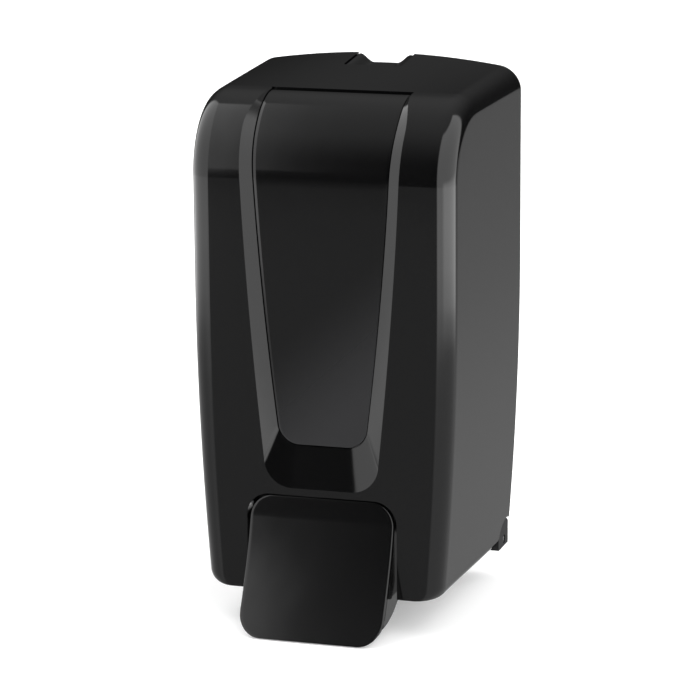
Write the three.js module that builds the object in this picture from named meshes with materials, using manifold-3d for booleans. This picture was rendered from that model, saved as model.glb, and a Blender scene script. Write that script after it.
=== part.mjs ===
// Wall mounted soap dispenser with a push lever, a lift-off pump and a hinged front cover.
// Millimetres, +Z up, front towards -Y. The wall face of the back plate lies on y = 0.
// Heights below are measured from the bottom edge of the front cover; the whole assembly is
// then lowered by ORIGIN_HEIGHT, so that the origin is the middle of the wall face.
import * as THREE from 'three';
import { mergeVertices } from 'three/addons/utils/BufferGeometryUtils.js';
import Module from 'manifold-3d';

const wasm = await Module();
wasm.setup();

// Front cover
const COVER_WIDTH = 130;
const COVER_DEPTH = 115;
const COVER_WALL = 2.5;
const COVER_GAP_TO_WALL = 3;
const TOP_EDGE_START = 201;      // height where the front turns into the top edge
const TOP_EDGE_RADIUS = 38;
const TOP_SLOPE = 6.2;           // degrees, the top rises towards the wall
const SIDE_DRAFT = 4;            // the cover is this much wider each side at the wall
const WAIST_START = 150;         // below this height the sides draw in
const WAIST_DEPTH = 6.2;
const CORNER_RADIUS = 10;
const BOTTOM_RADIUS = 6;
const CROWN = 0.0013;            // the rear of the top falls by CROWN times x squared

// Recess and the panel that lies in it, measured along the cover's middle line
const RECESS_DEPTH = 3;
const RECESS_TOP_DEPTH = 0.7;
const RECESS_FADE_START = 25;    // past the start of the top edge
const RECESS_FADE_END = 1.4;     // past the end of the top edge
const RECESS_BOTTOM = 51.5;
const RECESS_CORNER = 14;
const RECESS_HALF_TOP = 40.2;
const RECESS_TAPER = 11.1;
const PANEL_TOP_RUN = 4.1;       // how far the panel runs past the end of the top edge
const PANEL_BOTTOM = 72.5;
const PANEL_CORNER = 9;
const PANEL_HALF_TOP = 34.6;
const PANEL_TAPER = 13.9;
const PANEL_THICKNESS = 2;
const PANEL_GAP = 0.4;
const TAPER_START = 39;          // past the start of the top edge, where the outlines are full
const TAPER_HEIGHT = 70;         // where the outlines have drawn in by their taper
const TAPER_POWER = 1.58;

// Push lever
const LEVER_HALF_WIDTH = 36;
const LEVER_TOP = 47.3;
const LEVER_BOTTOM = -17.5;
const LEVER_CORNER = 11.5;
const LEVER_WALL = 2.5;
const LEVER_GAP = 1.6;           // between the lever and its opening in the cover
const LEVER_TOP_GAP = 0.7;
const LEVER_TOP_SETBACK = 1;     // the lever's upper edge lies this far behind the front face
const LEVER_LEAN = 0.09;
const LEVER_FLARE_START = 37.7;
const LEVER_FLARE = 0.0567;
const LEVER_FLARE_POWER = 1.45;
const LEVER_BULGE = 0.3;
const LEVER_EYE_RADIUS = 6;
const CHEEK_RISE = 8.3;          // of the cheek's lower edge above the bottom of the lever
const LEVER_PIVOT_SETBACK = 11;  // behind the cover's front face
const LEVER_PIVOT_HEIGHT = 40;
const LEVER_PIN_RADIUS = 2;
const LEVER_WEB_HEIGHT = 14;

// Cover hinge
const HINGE_SETBACK = 4.5;       // in front of the back plate
const HINGE_HEIGHT = 2;
const HINGE_PIN_RADIUS = 2;
const HINGE_LUG_RADIUS = 10.9;
const HINGE_LUG_BOTTOM = -1.5;
const HINGE_LUG_WIDTH = 5;
const KNUCKLE_RADIUS = 3.9;
const KNUCKLE_WIDTH = 6;

// Back plate
const PLATE_THICKNESS = 3;
const PLATE_RIM_DEPTH = 14;
const PLATE_RIM_WALL = 2.5;
const PLATE_TOP_DROP = 7.3;      // below the rear of the cover's top
const PLATE_CORNER = 9;
const PLATE_CLEARANCE = 1.3;     // between the rim and the inside of the cover
const WALL_HOLE_RADIUS = 2.75;
const WALL_HOLE_X = 36;
const WALL_HOLE_LOW = 38;
const WALL_HOLE_HIGH = 44;       // below the top of the plate

// Reservoir and its bracket
const TANK_SIDE_ROOM = 15;       // from each side of the cover
const TANK_FRONT_ROOM = 14;      // from the front of the cover
const TANK_BOTTOM = 74;
const TANK_TOP_RUN = 5;          // above the start of the top edge
const TANK_WALL = 1.8;
const TANK_CORNER = 14;
const TANK_SETBACK = 18;         // rear of the reservoir from the wall
const LID_THICKNESS = 3.5;
const NECK_WALL = 2.5;
const NECK_ROOM = 1.5;           // between the neck and the pump barrel
const NECK_LENGTH = 18;
const BRACKET_SIDE_INSET = 8;    // from each side of the reservoir
const BRACKET_FRONT_INSET = 6.7; // from the front of the reservoir
const BRACKET_THICKNESS = 4.2;
const BRACKET_RIM = 7.5;
const BRACKET_FLANGE_BOTTOM = 46;
const BRACKET_SCREW_X = 28;
const BRACKET_SCREW_HEIGHT = 55;

// Pump
const BARREL_RADIUS = 14;
const BARREL_WALL = 3;
const BARREL_BOTTOM = 44;
const BARREL_TOP = 73;
const CHAMBER_TOP = 66;
const BALL_RADIUS = 4;
const COLLAR_WALL = 6;           // outside the neck
const COLLAR_BOTTOM = 49;
const COLLAR_TOP = 67;
const STEM_RADIUS = 6;
const STEM_BORE = 2.5;
const PISTON_ROOM = 1;           // between the piston and the bore
const PISTON_HEIGHT = 6;
const FLANGE_RADIUS = 13;
const FLANGE_BOTTOM = 24;
const FLANGE_THICKNESS = 2.5;
const NOZZLE_RADIUS = 5.5;
const NOZZLE_BOTTOM = 4;
const NOZZLE_TIP_RADIUS = 6.5;
const YOKE_NUB_RADIUS = 3;
const YOKE_CLEARANCE = 0.5;      // between the nubs and the flange that they lift
const YOKE_ARM_WIDTH = 4;

// Cover latch
const BUTTON_HALF_WIDTH = 14;
const BUTTON_DEPTH = 24.8;
const BUTTON_GAP = 0.5;
const BUTTON_TRAVEL = 3;
const BUTTON_SCOOP_HALF_WIDTH = 7;
const BUTTON_SCOOP_DEPTH = 4.6;
const BUTTON_REAR_GAP = 0.6;
const LATCH_GUIDE_DROP = 28;     // below the top of the plate
const LATCH_SCREW_DROP = 23;
const LATCH_SCREW_X = 13;
const LATCH_GUIDE_HALF_WIDTH = 17;
const LATCH_POST_HALF_WIDTH = 7.5;

const SCREW_BORE = 1.8;
const FIT = 0.3;                 // the gap between pieces that lie against each other
const ROUND_SIDES = 24;
const EMBED = 1;                 // how far joined shapes run into each other
const BEYOND = 20;               // how far a cutting shape runs past what it cuts

// Places worked out from the sizes above
const FRONT_Y = -COVER_DEPTH;
const COVER_REAR_Y = -COVER_GAP_TO_WALL;
const ARC_CENTRE_Y = FRONT_Y + TOP_EDGE_RADIUS;
const ARC_ANGLE = THREE.MathUtils.degToRad(90 - TOP_SLOPE);
const ARC_END = TOP_EDGE_START + TOP_EDGE_RADIUS * ARC_ANGLE;
const TOP_DIRECTION = [Math.sin(ARC_ANGLE), Math.cos(ARC_ANGLE)];
const SLOPE = TOP_DIRECTION[1] / TOP_DIRECTION[0];
const ARC_END_Y = ARC_CENTRE_Y - TOP_EDGE_RADIUS * Math.cos(ARC_ANGLE);
const ARC_END_HEIGHT = TOP_EDGE_START + TOP_EDGE_RADIUS * Math.sin(ARC_ANGLE);
const COVER_REAR_TOP = ARC_END_HEIGHT + (COVER_REAR_Y - ARC_END_Y) * SLOPE;
const PLATE_TOP = Math.round(COVER_REAR_TOP - PLATE_TOP_DROP);
const ORIGIN_HEIGHT = PLATE_TOP / 2;
const PANEL_TOP = ARC_END + PANEL_TOP_RUN;
const HINGE_Y = -PLATE_THICKNESS - HINGE_SETBACK;
const LEVER_PIVOT_Y = FRONT_Y + LEVER_PIVOT_SETBACK;
const TANK_WIDTH = COVER_WIDTH - 2 * TANK_SIDE_ROOM;
const TANK_DEPTH = COVER_DEPTH - TANK_SETBACK - TANK_FRONT_ROOM;
const TANK_TOP = TOP_EDGE_START + TANK_TOP_RUN;
const TANK_Y = -TANK_SETBACK - TANK_DEPTH / 2;
const BARREL_BORE = BARREL_RADIUS - BARREL_WALL;
const PISTON_RADIUS = BARREL_BORE - PISTON_ROOM;
const NECK_RADIUS = BARREL_RADIUS + NECK_ROOM + NECK_WALL;
const COLLAR_RADIUS = NECK_RADIUS + COLLAR_WALL;
const FLANGE_TOP = FLANGE_BOTTOM + FLANGE_THICKNESS;
const NUB_HEIGHT = FLANGE_BOTTOM - YOKE_CLEARANCE - YOKE_NUB_RADIUS;
const NECK_BOTTOM = TANK_BOTTOM - NECK_LENGTH;
const BUTTON_REAR_Y = -PLATE_THICKNESS - BUTTON_REAR_GAP;
const BUTTON_FRONT_Y = BUTTON_REAR_Y - BUTTON_DEPTH;
const LATCH_GUIDE_BOTTOM = PLATE_TOP - LATCH_GUIDE_DROP;
const LATCH_SCREW_HEIGHT = PLATE_TOP - LATCH_SCREW_DROP;

// ---------------------------------------------------------------- geometry helpers

function solid(geometry) {
  const bare = geometry.clone();
  bare.deleteAttribute('normal');
  bare.deleteAttribute('uv');
  const merged = mergeVertices(bare, 1e-4);
  const vertProperties = new Float32Array(merged.attributes.position.array);
  const corners = merged.index.array;
  const triVerts = [];
  for (let i = 0; i < corners.length; i += 3) {
    const [a, b, c] = [corners[i], corners[i + 1], corners[i + 2]];
    if (a !== b && b !== c && c !== a) triVerts.push(a, b, c);
  }
  const mesh = new wasm.Mesh({ numProp: 3, vertProperties, triVerts: new Uint32Array(triVerts) });
  return new wasm.Manifold(mesh);
}

function geometryOf(manifold) {
  const mesh = manifold.getMesh();
  const geometry = new THREE.BufferGeometry();
  const positions = new Float32Array(mesh.vertProperties);
  geometry.setAttribute('position', new THREE.BufferAttribute(positions, 3));
  geometry.setIndex(new THREE.BufferAttribute(new Uint32Array(mesh.triVerts), 1));
  geometry.computeVertexNormals();
  return geometry;
}

function join(...geometries) {
  return geometryOf(geometries.map(solid).reduce((whole, next) => whole.add(next)));
}

function cut(base, ...tools) {
  return geometryOf(tools.map(solid).reduce((rest, tool) => rest.subtract(tool), solid(base)));
}

function common(a, b) {
  return geometryOf(solid(a).intersect(solid(b)));
}

// A closed solid through a row of equal rings. Each end is closed by rungs between the
// first and last point of its ring, the second and the last but one, and so on.
function loft(rings) {
  const count = rings[0].length;
  const faces = [];
  const quad = (a, b, c, d) => faces.push(a, b, c, a, c, d);
  for (let r = 0; r + 1 < rings.length; r += 1) {
    for (let i = 0; i < count; i += 1) {
      const j = (i + 1) % count;
      quad(r * count + i, r * count + j, (r + 1) * count + j, (r + 1) * count + i);
    }
  }
  const last = (rings.length - 1) * count;
  for (let i = 0; i < Math.floor((count - 1) / 2); i += 1) {
    const j = count - 1 - i;
    quad(j, j - 1, i + 1, i);
    quad(last + i, last + i + 1, last + j - 1, last + j);
  }
  const geometry = new THREE.BufferGeometry();
  geometry.setAttribute('position', new THREE.Float32BufferAttribute(rings.flat(2), 3));
  geometry.setIndex(signedVolume(rings.flat(), faces) < 0 ? faces.reverse() : faces);
  return geometry;
}

function signedVolume(points, faces) {
  let volume = 0;
  for (let i = 0; i < faces.length; i += 3) {
    const [a, b, c] = [0, 1, 2].map((k) => new THREE.Vector3(...points[faces[i + k]]));
    volume += a.dot(b.cross(c)) / 6;
  }
  return volume;
}

function box(x0, x1, y0, y1, z0, z1) {
  const geometry = new THREE.BoxGeometry(x1 - x0, y1 - y0, z1 - z0);
  return geometry.translate((x0 + x1) / 2, (y0 + y1) / 2, (z0 + z1) / 2);
}

function rodX(radius, x0, x1, y, z, sides = ROUND_SIDES) {
  const geometry = new THREE.CylinderGeometry(radius, radius, x1 - x0, sides);
  return geometry.rotateZ(Math.PI / 2).translate((x0 + x1) / 2, y, z);
}

function rodY(radius, y0, y1, x, z, sides = ROUND_SIDES) {
  const geometry = new THREE.CylinderGeometry(radius, radius, y1 - y0, sides);
  return geometry.translate(x, (y0 + y1) / 2, z);
}

function rodZ(radius, z0, z1, x, y, sides = ROUND_SIDES) {
  const geometry = new THREE.CylinderGeometry(radius, radius, z1 - z0, sides);
  return geometry.rotateX(Math.PI / 2).translate(x, y, (z0 + z1) / 2);
}

// An outline of [y, z] points, as thick as x0 to x1
function plateX(points, x0, x1) {
  const shape = new THREE.Shape(points.map(([y, z]) => new THREE.Vector2(y, z)));
  const geometry = new THREE.ExtrudeGeometry(shape, { depth: x1 - x0, bevelEnabled: false });
  const turn = new THREE.Matrix4().set(0, 0, 1, x0, 1, 0, 0, 0, 0, 1, 0, 0, 0, 0, 0, 1);
  return geometry.applyMatrix4(turn);
}

// A shape drawn in x and z, as thick as y0 to y1
function plateY(shape, y0, y1) {
  const settings = { depth: y1 - y0, bevelEnabled: false, curveSegments: 8 };
  const geometry = new THREE.ExtrudeGeometry(shape, settings);
  return geometry.rotateX(Math.PI / 2).translate(0, y1, 0);
}

// A shape drawn in x and y, as thick as z0 to z1
function plateZ(shape, z0, z1) {
  const settings = { depth: z1 - z0, bevelEnabled: false, curveSegments: 6 };
  return new THREE.ExtrudeGeometry(shape, settings).translate(0, 0, z0);
}

function roundedRectangle(halfWidth, low, high, radius) {
  const shape = new THREE.Shape();
  shape.moveTo(-halfWidth + radius, low);
  shape.lineTo(halfWidth - radius, low);
  shape.absarc(halfWidth - radius, low + radius, radius, -Math.PI / 2, 0);
  shape.lineTo(halfWidth, high - radius);
  shape.absarc(halfWidth - radius, high - radius, radius, 0, Math.PI / 2);
  shape.lineTo(-halfWidth + radius, high);
  shape.absarc(-halfWidth + radius, high - radius, radius, Math.PI / 2, Math.PI);
  shape.lineTo(-halfWidth, low + radius);
  shape.absarc(-halfWidth + radius, low + radius, radius, Math.PI, Math.PI * 1.5);
  return shape;
}

// A turned piece about an upright axis at x, y, from [radius, height] points
function turned(profile, x, y, sides = ROUND_SIDES) {
  const points = profile.map(([radius, height]) => new THREE.Vector2(radius, height));
  const geometry = new THREE.LatheGeometry(points, sides);
  geometry.rotateX(Math.PI / 2);
  const merged = mergeVertices(geometry.deleteAttribute('normal').deleteAttribute('uv'), 1e-4);
  const faces = Array.from(merged.index.array);
  const places = merged.attributes.position;
  const corners = Array.from({ length: places.count }, (_, i) => [
    places.getX(i), places.getY(i), places.getZ(i)]);
  merged.setIndex(signedVolume(corners, faces) < 0 ? faces.reverse() : faces);
  return merged.translate(x, y, 0);
}

class Helix extends THREE.Curve {
  constructor(radius, turns, low, high) {
    super();
    Object.assign(this, { radius, turns, low, high });
  }

  getPoint(t, target = new THREE.Vector3()) {
    const angle = Math.PI * 2 * this.turns * t;
    const height = THREE.MathUtils.lerp(this.low, this.high, t);
    return target.set(this.radius * Math.cos(angle), this.radius * Math.sin(angle), height);
  }
}

function coil(radius, wire, turns, low, high, x, y) {
  const path = new Helix(radius, turns, low + wire, high - wire);
  const section = new THREE.Shape();
  section.absarc(0, 0, wire, 0, Math.PI * 2);
  const settings = { steps: turns * 12, extrudePath: path, curveSegments: 3, bevelEnabled: false };
  return new THREE.ExtrudeGeometry(section, settings).translate(x, y, 0);
}

function panHeadScrew(place, headRadius, headHeight, shankRadius, length, pointsUp) {
  const profile = [
    [0, 0], [headRadius, 0], [headRadius, -headHeight * 0.4], [headRadius * 0.7, -headHeight],
    [0, -headHeight],
  ];
  const head = turned(profile, 0, 0, 20);
  const shank = rodZ(shankRadius, -EMBED, length, 0, 0, 12);
  const slotWidth = headRadius * 0.22;
  const slotReach = headRadius * 0.62;
  const slotFloor = -headHeight * 0.45;
  const slots = [
    box(-slotReach, slotReach, -slotWidth, slotWidth, -headHeight - EMBED, slotFloor),
    box(-slotWidth, slotWidth, -slotReach, slotReach, -headHeight - EMBED, slotFloor),
  ];
  const screw = cut(join(head, shank), ...slots);
  screw.rotateX(pointsUp);
  return screw.translate(...place);
}

// ---------------------------------------------------------------- the cover's form

function frontHalfWidth(z) {
  const draw = Math.max(0, 1 - z / WAIST_START);
  return COVER_WIDTH / 2 - WAIST_DEPTH * draw * draw;
}

function halfWidth(y, z) {
  return frontHalfWidth(z) + SIDE_DRAFT * (1 + y / COVER_DEPTH);
}

// The point at distance s along the cover's middle line, depth below its surface
function along(s, depth) {
  if (s <= TOP_EDGE_START) return [FRONT_Y + depth, s];
  const angle = Math.min((s - TOP_EDGE_START) / TOP_EDGE_RADIUS, ARC_ANGLE);
  const reach = TOP_EDGE_RADIUS - depth;
  const rest = Math.max(0, s - ARC_END);
  return [
    ARC_CENTRE_Y - reach * Math.cos(angle) + rest * TOP_DIRECTION[0],
    TOP_EDGE_START + reach * Math.sin(angle) + rest * TOP_DIRECTION[1],
  ];
}

function lengthTo(y) {
  return ARC_END + (y - along(ARC_END, 0)[0]) / TOP_DIRECTION[0];
}

function roundOff(distance, radius) {
  const into = Math.min(Math.max(distance, 0), radius);
  return radius - Math.sqrt(radius * radius - into * into);
}

function steps(low, high, count) {
  return Array.from({ length: count + 1 }, (_, i) => low + ((high - low) * i) / count);
}

// The cover's outside as a full body, or its inside when inset is the wall
function coverBody(inset, bottom, rearY, bottomRadius) {
  const half = COVER_WIDTH / 2 - inset;
  const radius = CORNER_RADIUS - inset;
  const end = lengthTo(rearY);
  const heights = [bottom, ...steps(25, WAIST_START, 5), TOP_EDGE_START];
  const stations = [
    ...heights, ...steps(TOP_EDGE_START, ARC_END, 9).slice(1), ...steps(ARC_END, end, 4).slice(1)];
  const fillet = steps(0, 1, 6).map((t) => radius * Math.sin((t * Math.PI) / 2));
  const right = [...steps(0, half - radius, 5).slice(0, -1), ...fillet.map((f) => half - radius + f)];
  const slices = [...right.slice(1).reverse().map((x) => -x), ...right];
  return loft(slices.map((x) => {
    const depth = inset + roundOff(Math.abs(x) - (half - radius), radius);
    const lift = roundOff(Math.abs(x) - (half - bottomRadius), bottomRadius);
    const place = ([y, z]) => {
      const px = (x * (halfWidth(y, z) - inset)) / half;
      const fall = THREE.MathUtils.clamp((y - ARC_CENTRE_Y) / (COVER_REAR_Y - ARC_CENTRE_Y), 0, 1);
      return [px, y, z > TOP_EDGE_START ? z - CROWN * px * px * fall : z];
    };
    const bend = along(ARC_END, depth);
    const front = stations.map((s) => {
      if (s <= ARC_END) return place(along(Math.max(s, bottom + lift), depth));
      const run = ((s - ARC_END) / (end - ARC_END)) * (rearY - bend[0]);
      return place([bend[0] + run, bend[1] + run * SLOPE]);
    });
    const rim = front[front.length - 1];
    const rear = stations.slice(0, -1).map((s) => {
      const share = (s - TOP_EDGE_START) / (end - TOP_EDGE_START);
      const z = s <= TOP_EDGE_START ? s : TOP_EDGE_START + share * (rim[2] - TOP_EDGE_START);
      return [(x * (halfWidth(rearY, z) - inset)) / half, rearY, Math.max(z, bottom + lift)];
    });
    return [...front, ...rear.reverse()];
  }));
}

// Half the width of an outline on the front, at distance s along the middle line
function outlineHalf(s, top, taper, low, corner) {
  const start = TOP_EDGE_START + TAPER_START;
  const fall = Math.max(0, (start - s) / (start - TAPER_HEIGHT)) ** TAPER_POWER;
  return top - taper * fall - roundOff(low + corner - s, corner);
}

function fade(s) {
  const start = TOP_EDGE_START + RECESS_FADE_START;
  return 1 - THREE.MathUtils.smoothstep(s, start, ARC_END + RECESS_FADE_END);
}

function recessDepth(s) {
  return RECESS_TOP_DEPTH + (RECESS_DEPTH - RECESS_TOP_DEPTH) * fade(s);
}

function panelHalf(s) {
  return outlineHalf(s, PANEL_HALF_TOP, PANEL_TAPER, PANEL_BOTTOM, PANEL_CORNER);
}

function recessHalf(s) {
  const full = outlineHalf(s, RECESS_HALF_TOP, RECESS_TAPER, RECESS_BOTTOM, RECESS_CORNER);
  const narrow = PANEL_HALF_TOP + 1;
  return full + (Math.min(full, narrow) - full) * (1 - fade(s));
}

// Distances down an outline, from its top end to its bottom edge, closer round the corner
function outlineStations(high, low, corner) {
  const turn = steps(0, 1, 6).map((t) => low + corner * (1 - Math.sin((t * Math.PI) / 2)));
  const bend = steps(high, TOP_EDGE_START, 12);
  return [...bend, ...steps(TOP_EDGE_START, low + corner, 6).slice(1), ...turn.slice(1)];
}

function surfacePoint(x, s, depth) {
  return [x, ...along(s, depth)];
}

// A slab that follows the front, between two depths
function frontSlab(stations, half, upper, lower) {
  return loft(stations.map((s) => [
    surfacePoint(-half(s), s, upper(s)), surfacePoint(-half(s), s, lower(s)),
    surfacePoint(half(s), s, lower(s)), surfacePoint(half(s), s, upper(s)),
  ]));
}

// ---------------------------------------------------------------- the scene

const dispenser = new THREE.Group();
const assembly = new THREE.Group();
assembly.position.z = -ORIGIN_HEIGHT;
dispenser.add(assembly);

const FINISHES = {
  gloss: { color: 0x1b1b1d, roughness: 0.18, metalness: 0 },
  moulding: { color: 0x232326, roughness: 0.45, metalness: 0 },
  natural: { color: 0xdfe3e2, roughness: 0.35, metalness: 0 },
  tank: { color: 0xe9eeee, roughness: 0.25, metalness: 0 },
  rubber: { color: 0x2b2b2b, roughness: 0.8, metalness: 0 },
  silicone: { color: 0xc9cdd0, roughness: 0.6, metalness: 0 },
  steel: { color: 0xb4b7ba, roughness: 0.28, metalness: 1 },
};

function addPart(name, finish, geometry) {
  const mesh = new THREE.Mesh(geometry, new THREE.MeshStandardMaterial(FINISHES[finish]));
  mesh.name = name;
  assembly.add(mesh);
}

const SIDES = { left: -1, right: 1 };

function mirrored(sideSign, x0, x1) {
  return sideSign > 0 ? [x0, x1] : [-x1, -x0];
}

// ---------------------------------------------------------------- front cover and panel

const lugOuterX = halfWidth(HINGE_Y, HINGE_HEIGHT) - 0.4;
const lugInnerX = lugOuterX - HINGE_LUG_WIDTH;
const knuckleOuterX = lugInnerX - 0.6;
const knuckleInnerX = knuckleOuterX - KNUCKLE_WIDTH;
const leverOpeningHalf = LEVER_HALF_WIDTH + LEVER_GAP;
const leverLugInnerX = leverOpeningHalf + 1;
const leverLugOuterX = leverLugInnerX + 3.6;
const latchRibInnerX = BUTTON_HALF_WIDTH + BUTTON_GAP + 1;
const latchRibOuterX = latchRibInnerX + 4.5;
const latchRibBottom = PLATE_TOP;
const latchHookTop = latchRibBottom - 1.1;
const latchRibFrontY = BUTTON_FRONT_Y + 5.4;
const recessStations = outlineStations(PANEL_TOP + 1, RECESS_BOTTOM, RECESS_CORNER);
const panelStations = outlineStations(PANEL_TOP, PANEL_BOTTOM, PANEL_CORNER);

function coverShell() {
  const outside = coverBody(0, 0, COVER_REAR_Y, BOTTOM_RADIUS);
  const inside = coverBody(COVER_WALL, -BEYOND, COVER_REAR_Y + BEYOND, 0.01);
  const backing = (s) => recessDepth(s) + PANEL_THICKNESS + FIT + COVER_WALL;
  const pad = frontSlab(recessStations, (s) => recessHalf(s) + COVER_WALL, () => EMBED, backing);
  return join(cut(outside, inside), pad);
}

function recessCut() {
  return loft(recessStations.map((s, row) => {
    const inner = panelStations[row];
    const outerHalf = recessHalf(s);
    const innerHalf = panelHalf(inner) + PANEL_GAP;
    const floor = recessDepth(inner) + 0.05;
    return [
      surfacePoint(-outerHalf, s, -EMBED), surfacePoint(-outerHalf, s, 0),
      surfacePoint(-innerHalf, inner, floor), surfacePoint(innerHalf, inner, floor),
      surfacePoint(outerHalf, s, 0), surfacePoint(outerHalf, s, -EMBED),
    ];
  }));
}

function panelPocket() {
  const stations = [PANEL_TOP + PANEL_GAP, ...panelStations.slice(1), PANEL_BOTTOM - PANEL_GAP];
  const half = (s) => panelHalf(Math.max(s, PANEL_BOTTOM)) + PANEL_GAP;
  const upper = (s) => recessDepth(s) - EMBED;
  return frontSlab(stations, half, upper, (s) => recessDepth(s) + PANEL_THICKNESS + FIT);
}

function leverOpening() {
  const shape = roundedRectangle(leverOpeningHalf, -BEYOND, LEVER_TOP + LEVER_TOP_GAP, LEVER_CORNER);
  return plateY(shape, FRONT_Y - BEYOND, FRONT_Y + COVER_WALL + EMBED);
}

function knuckle(side) {
  const [x0, x1] = mirrored(side, knuckleInnerX, knuckleOuterX);
  const [w0, w1] = mirrored(side, knuckleInnerX, halfWidth(HINGE_Y, 22) - EMBED);
  const frontY = HINGE_Y - KNUCKLE_RADIUS;
  const rearY = HINGE_Y + KNUCKLE_RADIUS;
  return [
    rodX(KNUCKLE_RADIUS, x0, x1, HINGE_Y, HINGE_HEIGHT),
    box(x0, x1, frontY, rearY, HINGE_HEIGHT, HINGE_HEIGHT + 26),
    box(w0, w1, frontY, rearY, HINGE_HEIGHT + 16, HINGE_HEIGHT + 26),
  ];
}

function leverLug(side) {
  const [x0, x1] = mirrored(side, leverLugInnerX, leverLugOuterX);
  const [low, high] = [-1, 1].map((sign) => LEVER_PIVOT_HEIGHT + sign * LEVER_EYE_RADIUS);
  return [
    rodX(LEVER_EYE_RADIUS, x0, x1, LEVER_PIVOT_Y, LEVER_PIVOT_HEIGHT),
    box(x0, x1, FRONT_Y + EMBED, LEVER_PIVOT_Y, low, high),
  ];
}

function latchRib(side) {
  const [x0, x1] = mirrored(side, latchRibInnerX, latchRibOuterX);
  const roof = along(lengthTo(latchRibFrontY), COVER_WALL)[1];
  return box(x0, x1, latchRibFrontY, latchRibFrontY + 3, latchRibBottom, roof);
}

function hingeNotch(side) {
  const [x0, x1] = mirrored(side, lugInnerX - 0.6, lugOuterX + BEYOND);
  return rodX(HINGE_LUG_RADIUS + 0.6, x0, x1, HINGE_Y, HINGE_HEIGHT, 48);
}

const sides = Object.values(SIDES);
const buttonOpening = BUTTON_HALF_WIDTH + BUTTON_GAP;
const coverCuts = [
  recessCut(),
  panelPocket(),
  leverOpening(),
  box(-buttonOpening, buttonOpening, BUTTON_FRONT_Y - BUTTON_REAR_GAP, BEYOND,
    PLATE_TOP - 20, PLATE_TOP + BEYOND),
  rodX(HINGE_PIN_RADIUS + FIT, -COVER_WIDTH, COVER_WIDTH, HINGE_Y, HINGE_HEIGHT, 24),
  rodX(LEVER_PIN_RADIUS + FIT, -COVER_WIDTH / 3, COVER_WIDTH / 3, LEVER_PIVOT_Y, LEVER_PIVOT_HEIGHT, 24),
];
const notchedShell = cut(coverShell(), ...sides.map(hingeNotch));
const coverAdditions = sides.flatMap((side) => [...knuckle(side), ...leverLug(side), latchRib(side)]);
addPart('front_cover', 'gloss', cut(join(notchedShell, ...coverAdditions), ...coverCuts));
addPart('front_panel', 'gloss',
  frontSlab(panelStations, panelHalf, recessDepth, (s) => recessDepth(s) + PANEL_THICKNESS));

// ---------------------------------------------------------------- push lever

function leverFaceY(x, z) {
  const flare = Math.max(0, LEVER_FLARE_START - z) ** LEVER_FLARE_POWER;
  const across = 1 - (x / LEVER_HALF_WIDTH) ** 2;
  const share = THREE.MathUtils.smoothstep(LEVER_FLARE_START - z, 0, LEVER_FLARE_START);
  const lean = LEVER_LEAN * (LEVER_TOP - z);
  return FRONT_Y + LEVER_TOP_SETBACK - lean - LEVER_FLARE * flare - LEVER_BULGE * across * share;
}

function leverPlate() {
  const turn = steps(0, 1, 6).map((t) => LEVER_CORNER * (1 - Math.cos((t * Math.PI) / 2)));
  const low = turn.map((drop) => LEVER_BOTTOM + drop);
  const high = turn.map((drop) => LEVER_TOP - drop).reverse();
  const middle = steps(LEVER_BOTTOM + LEVER_CORNER, LEVER_TOP - LEVER_CORNER, 10).slice(1, -1);
  return loft([...low, ...middle, ...high].map((z) => {
    const toEdge = Math.min(z - LEVER_BOTTOM, LEVER_TOP - z);
    const half = LEVER_HALF_WIDTH - roundOff(LEVER_CORNER - toEdge, LEVER_CORNER);
    const xs = steps(-half, half, 8);
    const face = xs.map((x) => [x, leverFaceY(x, z), z]);
    const back = xs.map((x) => [x, leverFaceY(x, z) + LEVER_WALL, z]);
    return [...face, ...back.reverse()];
  }));
}

function leverCheek(side) {
  const [x0, x1] = mirrored(side, LEVER_HALF_WIDTH - LEVER_WALL, LEVER_HALF_WIDTH);
  const low = LEVER_BOTTOM + CHEEK_RISE;
  const front = steps(LEVER_FLARE_START, low, 9).map((z) => [leverFaceY(LEVER_HALF_WIDTH, z) + 1.2, z]);
  const eye = steps(-80, 140, 8).map(THREE.MathUtils.degToRad).map((angle) => [
    LEVER_PIVOT_Y + LEVER_EYE_RADIUS * Math.cos(angle),
    LEVER_PIVOT_HEIGHT + LEVER_EYE_RADIUS * Math.sin(angle),
  ]);
  const underside = new THREE.QuadraticBezierCurve(
    new THREE.Vector2(FRONT_Y - 17, low),
    new THREE.Vector2(FRONT_Y - 3, low),
    new THREE.Vector2(LEVER_PIVOT_Y - 2, low + 8.2),
  );
  const lower = underside.getPoints(6).map((point) => [point.x, point.y]);
  return plateX([...front, ...lower, [LEVER_PIVOT_Y + 2, low + 15.2], ...eye], x0, x1);
}

function leverGeometry() {
  const webHalf = LEVER_HALF_WIDTH - LEVER_WALL + EMBED;
  const webFrontY = leverFaceY(webHalf, LEVER_WEB_HEIGHT) + EMBED;
  const web = box(-webHalf, webHalf, webFrontY, FRONT_Y + 17, LEVER_WEB_HEIGHT, LEVER_WEB_HEIGHT + 2.5);
  const whole = join(leverPlate(), ...sides.map(leverCheek), web);
  const bore = LEVER_PIN_RADIUS + FIT;
  return cut(
    whole,
    rodX(bore, -LEVER_HALF_WIDTH - EMBED, LEVER_HALF_WIDTH + EMBED, LEVER_PIVOT_Y, LEVER_PIVOT_HEIGHT, 24),
    ...sides.map((side) => rodZ(SCREW_BORE, 0, 20, side * yokeScrewX, yokeScrewY, 16)),
  );
}

const webTop = LEVER_WEB_HEIGHT + 2.5;
const yokeBottom = webTop + FIT;
const yokePlateTop = yokeBottom + 3;
const armInnerX = FLANGE_RADIUS + 1;
const armOuterX = armInnerX + YOKE_ARM_WIDTH;
const yokeScrewX = armInnerX - 4.5;
const yokeScrewY = LEVER_PIVOT_Y - 1;

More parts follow.
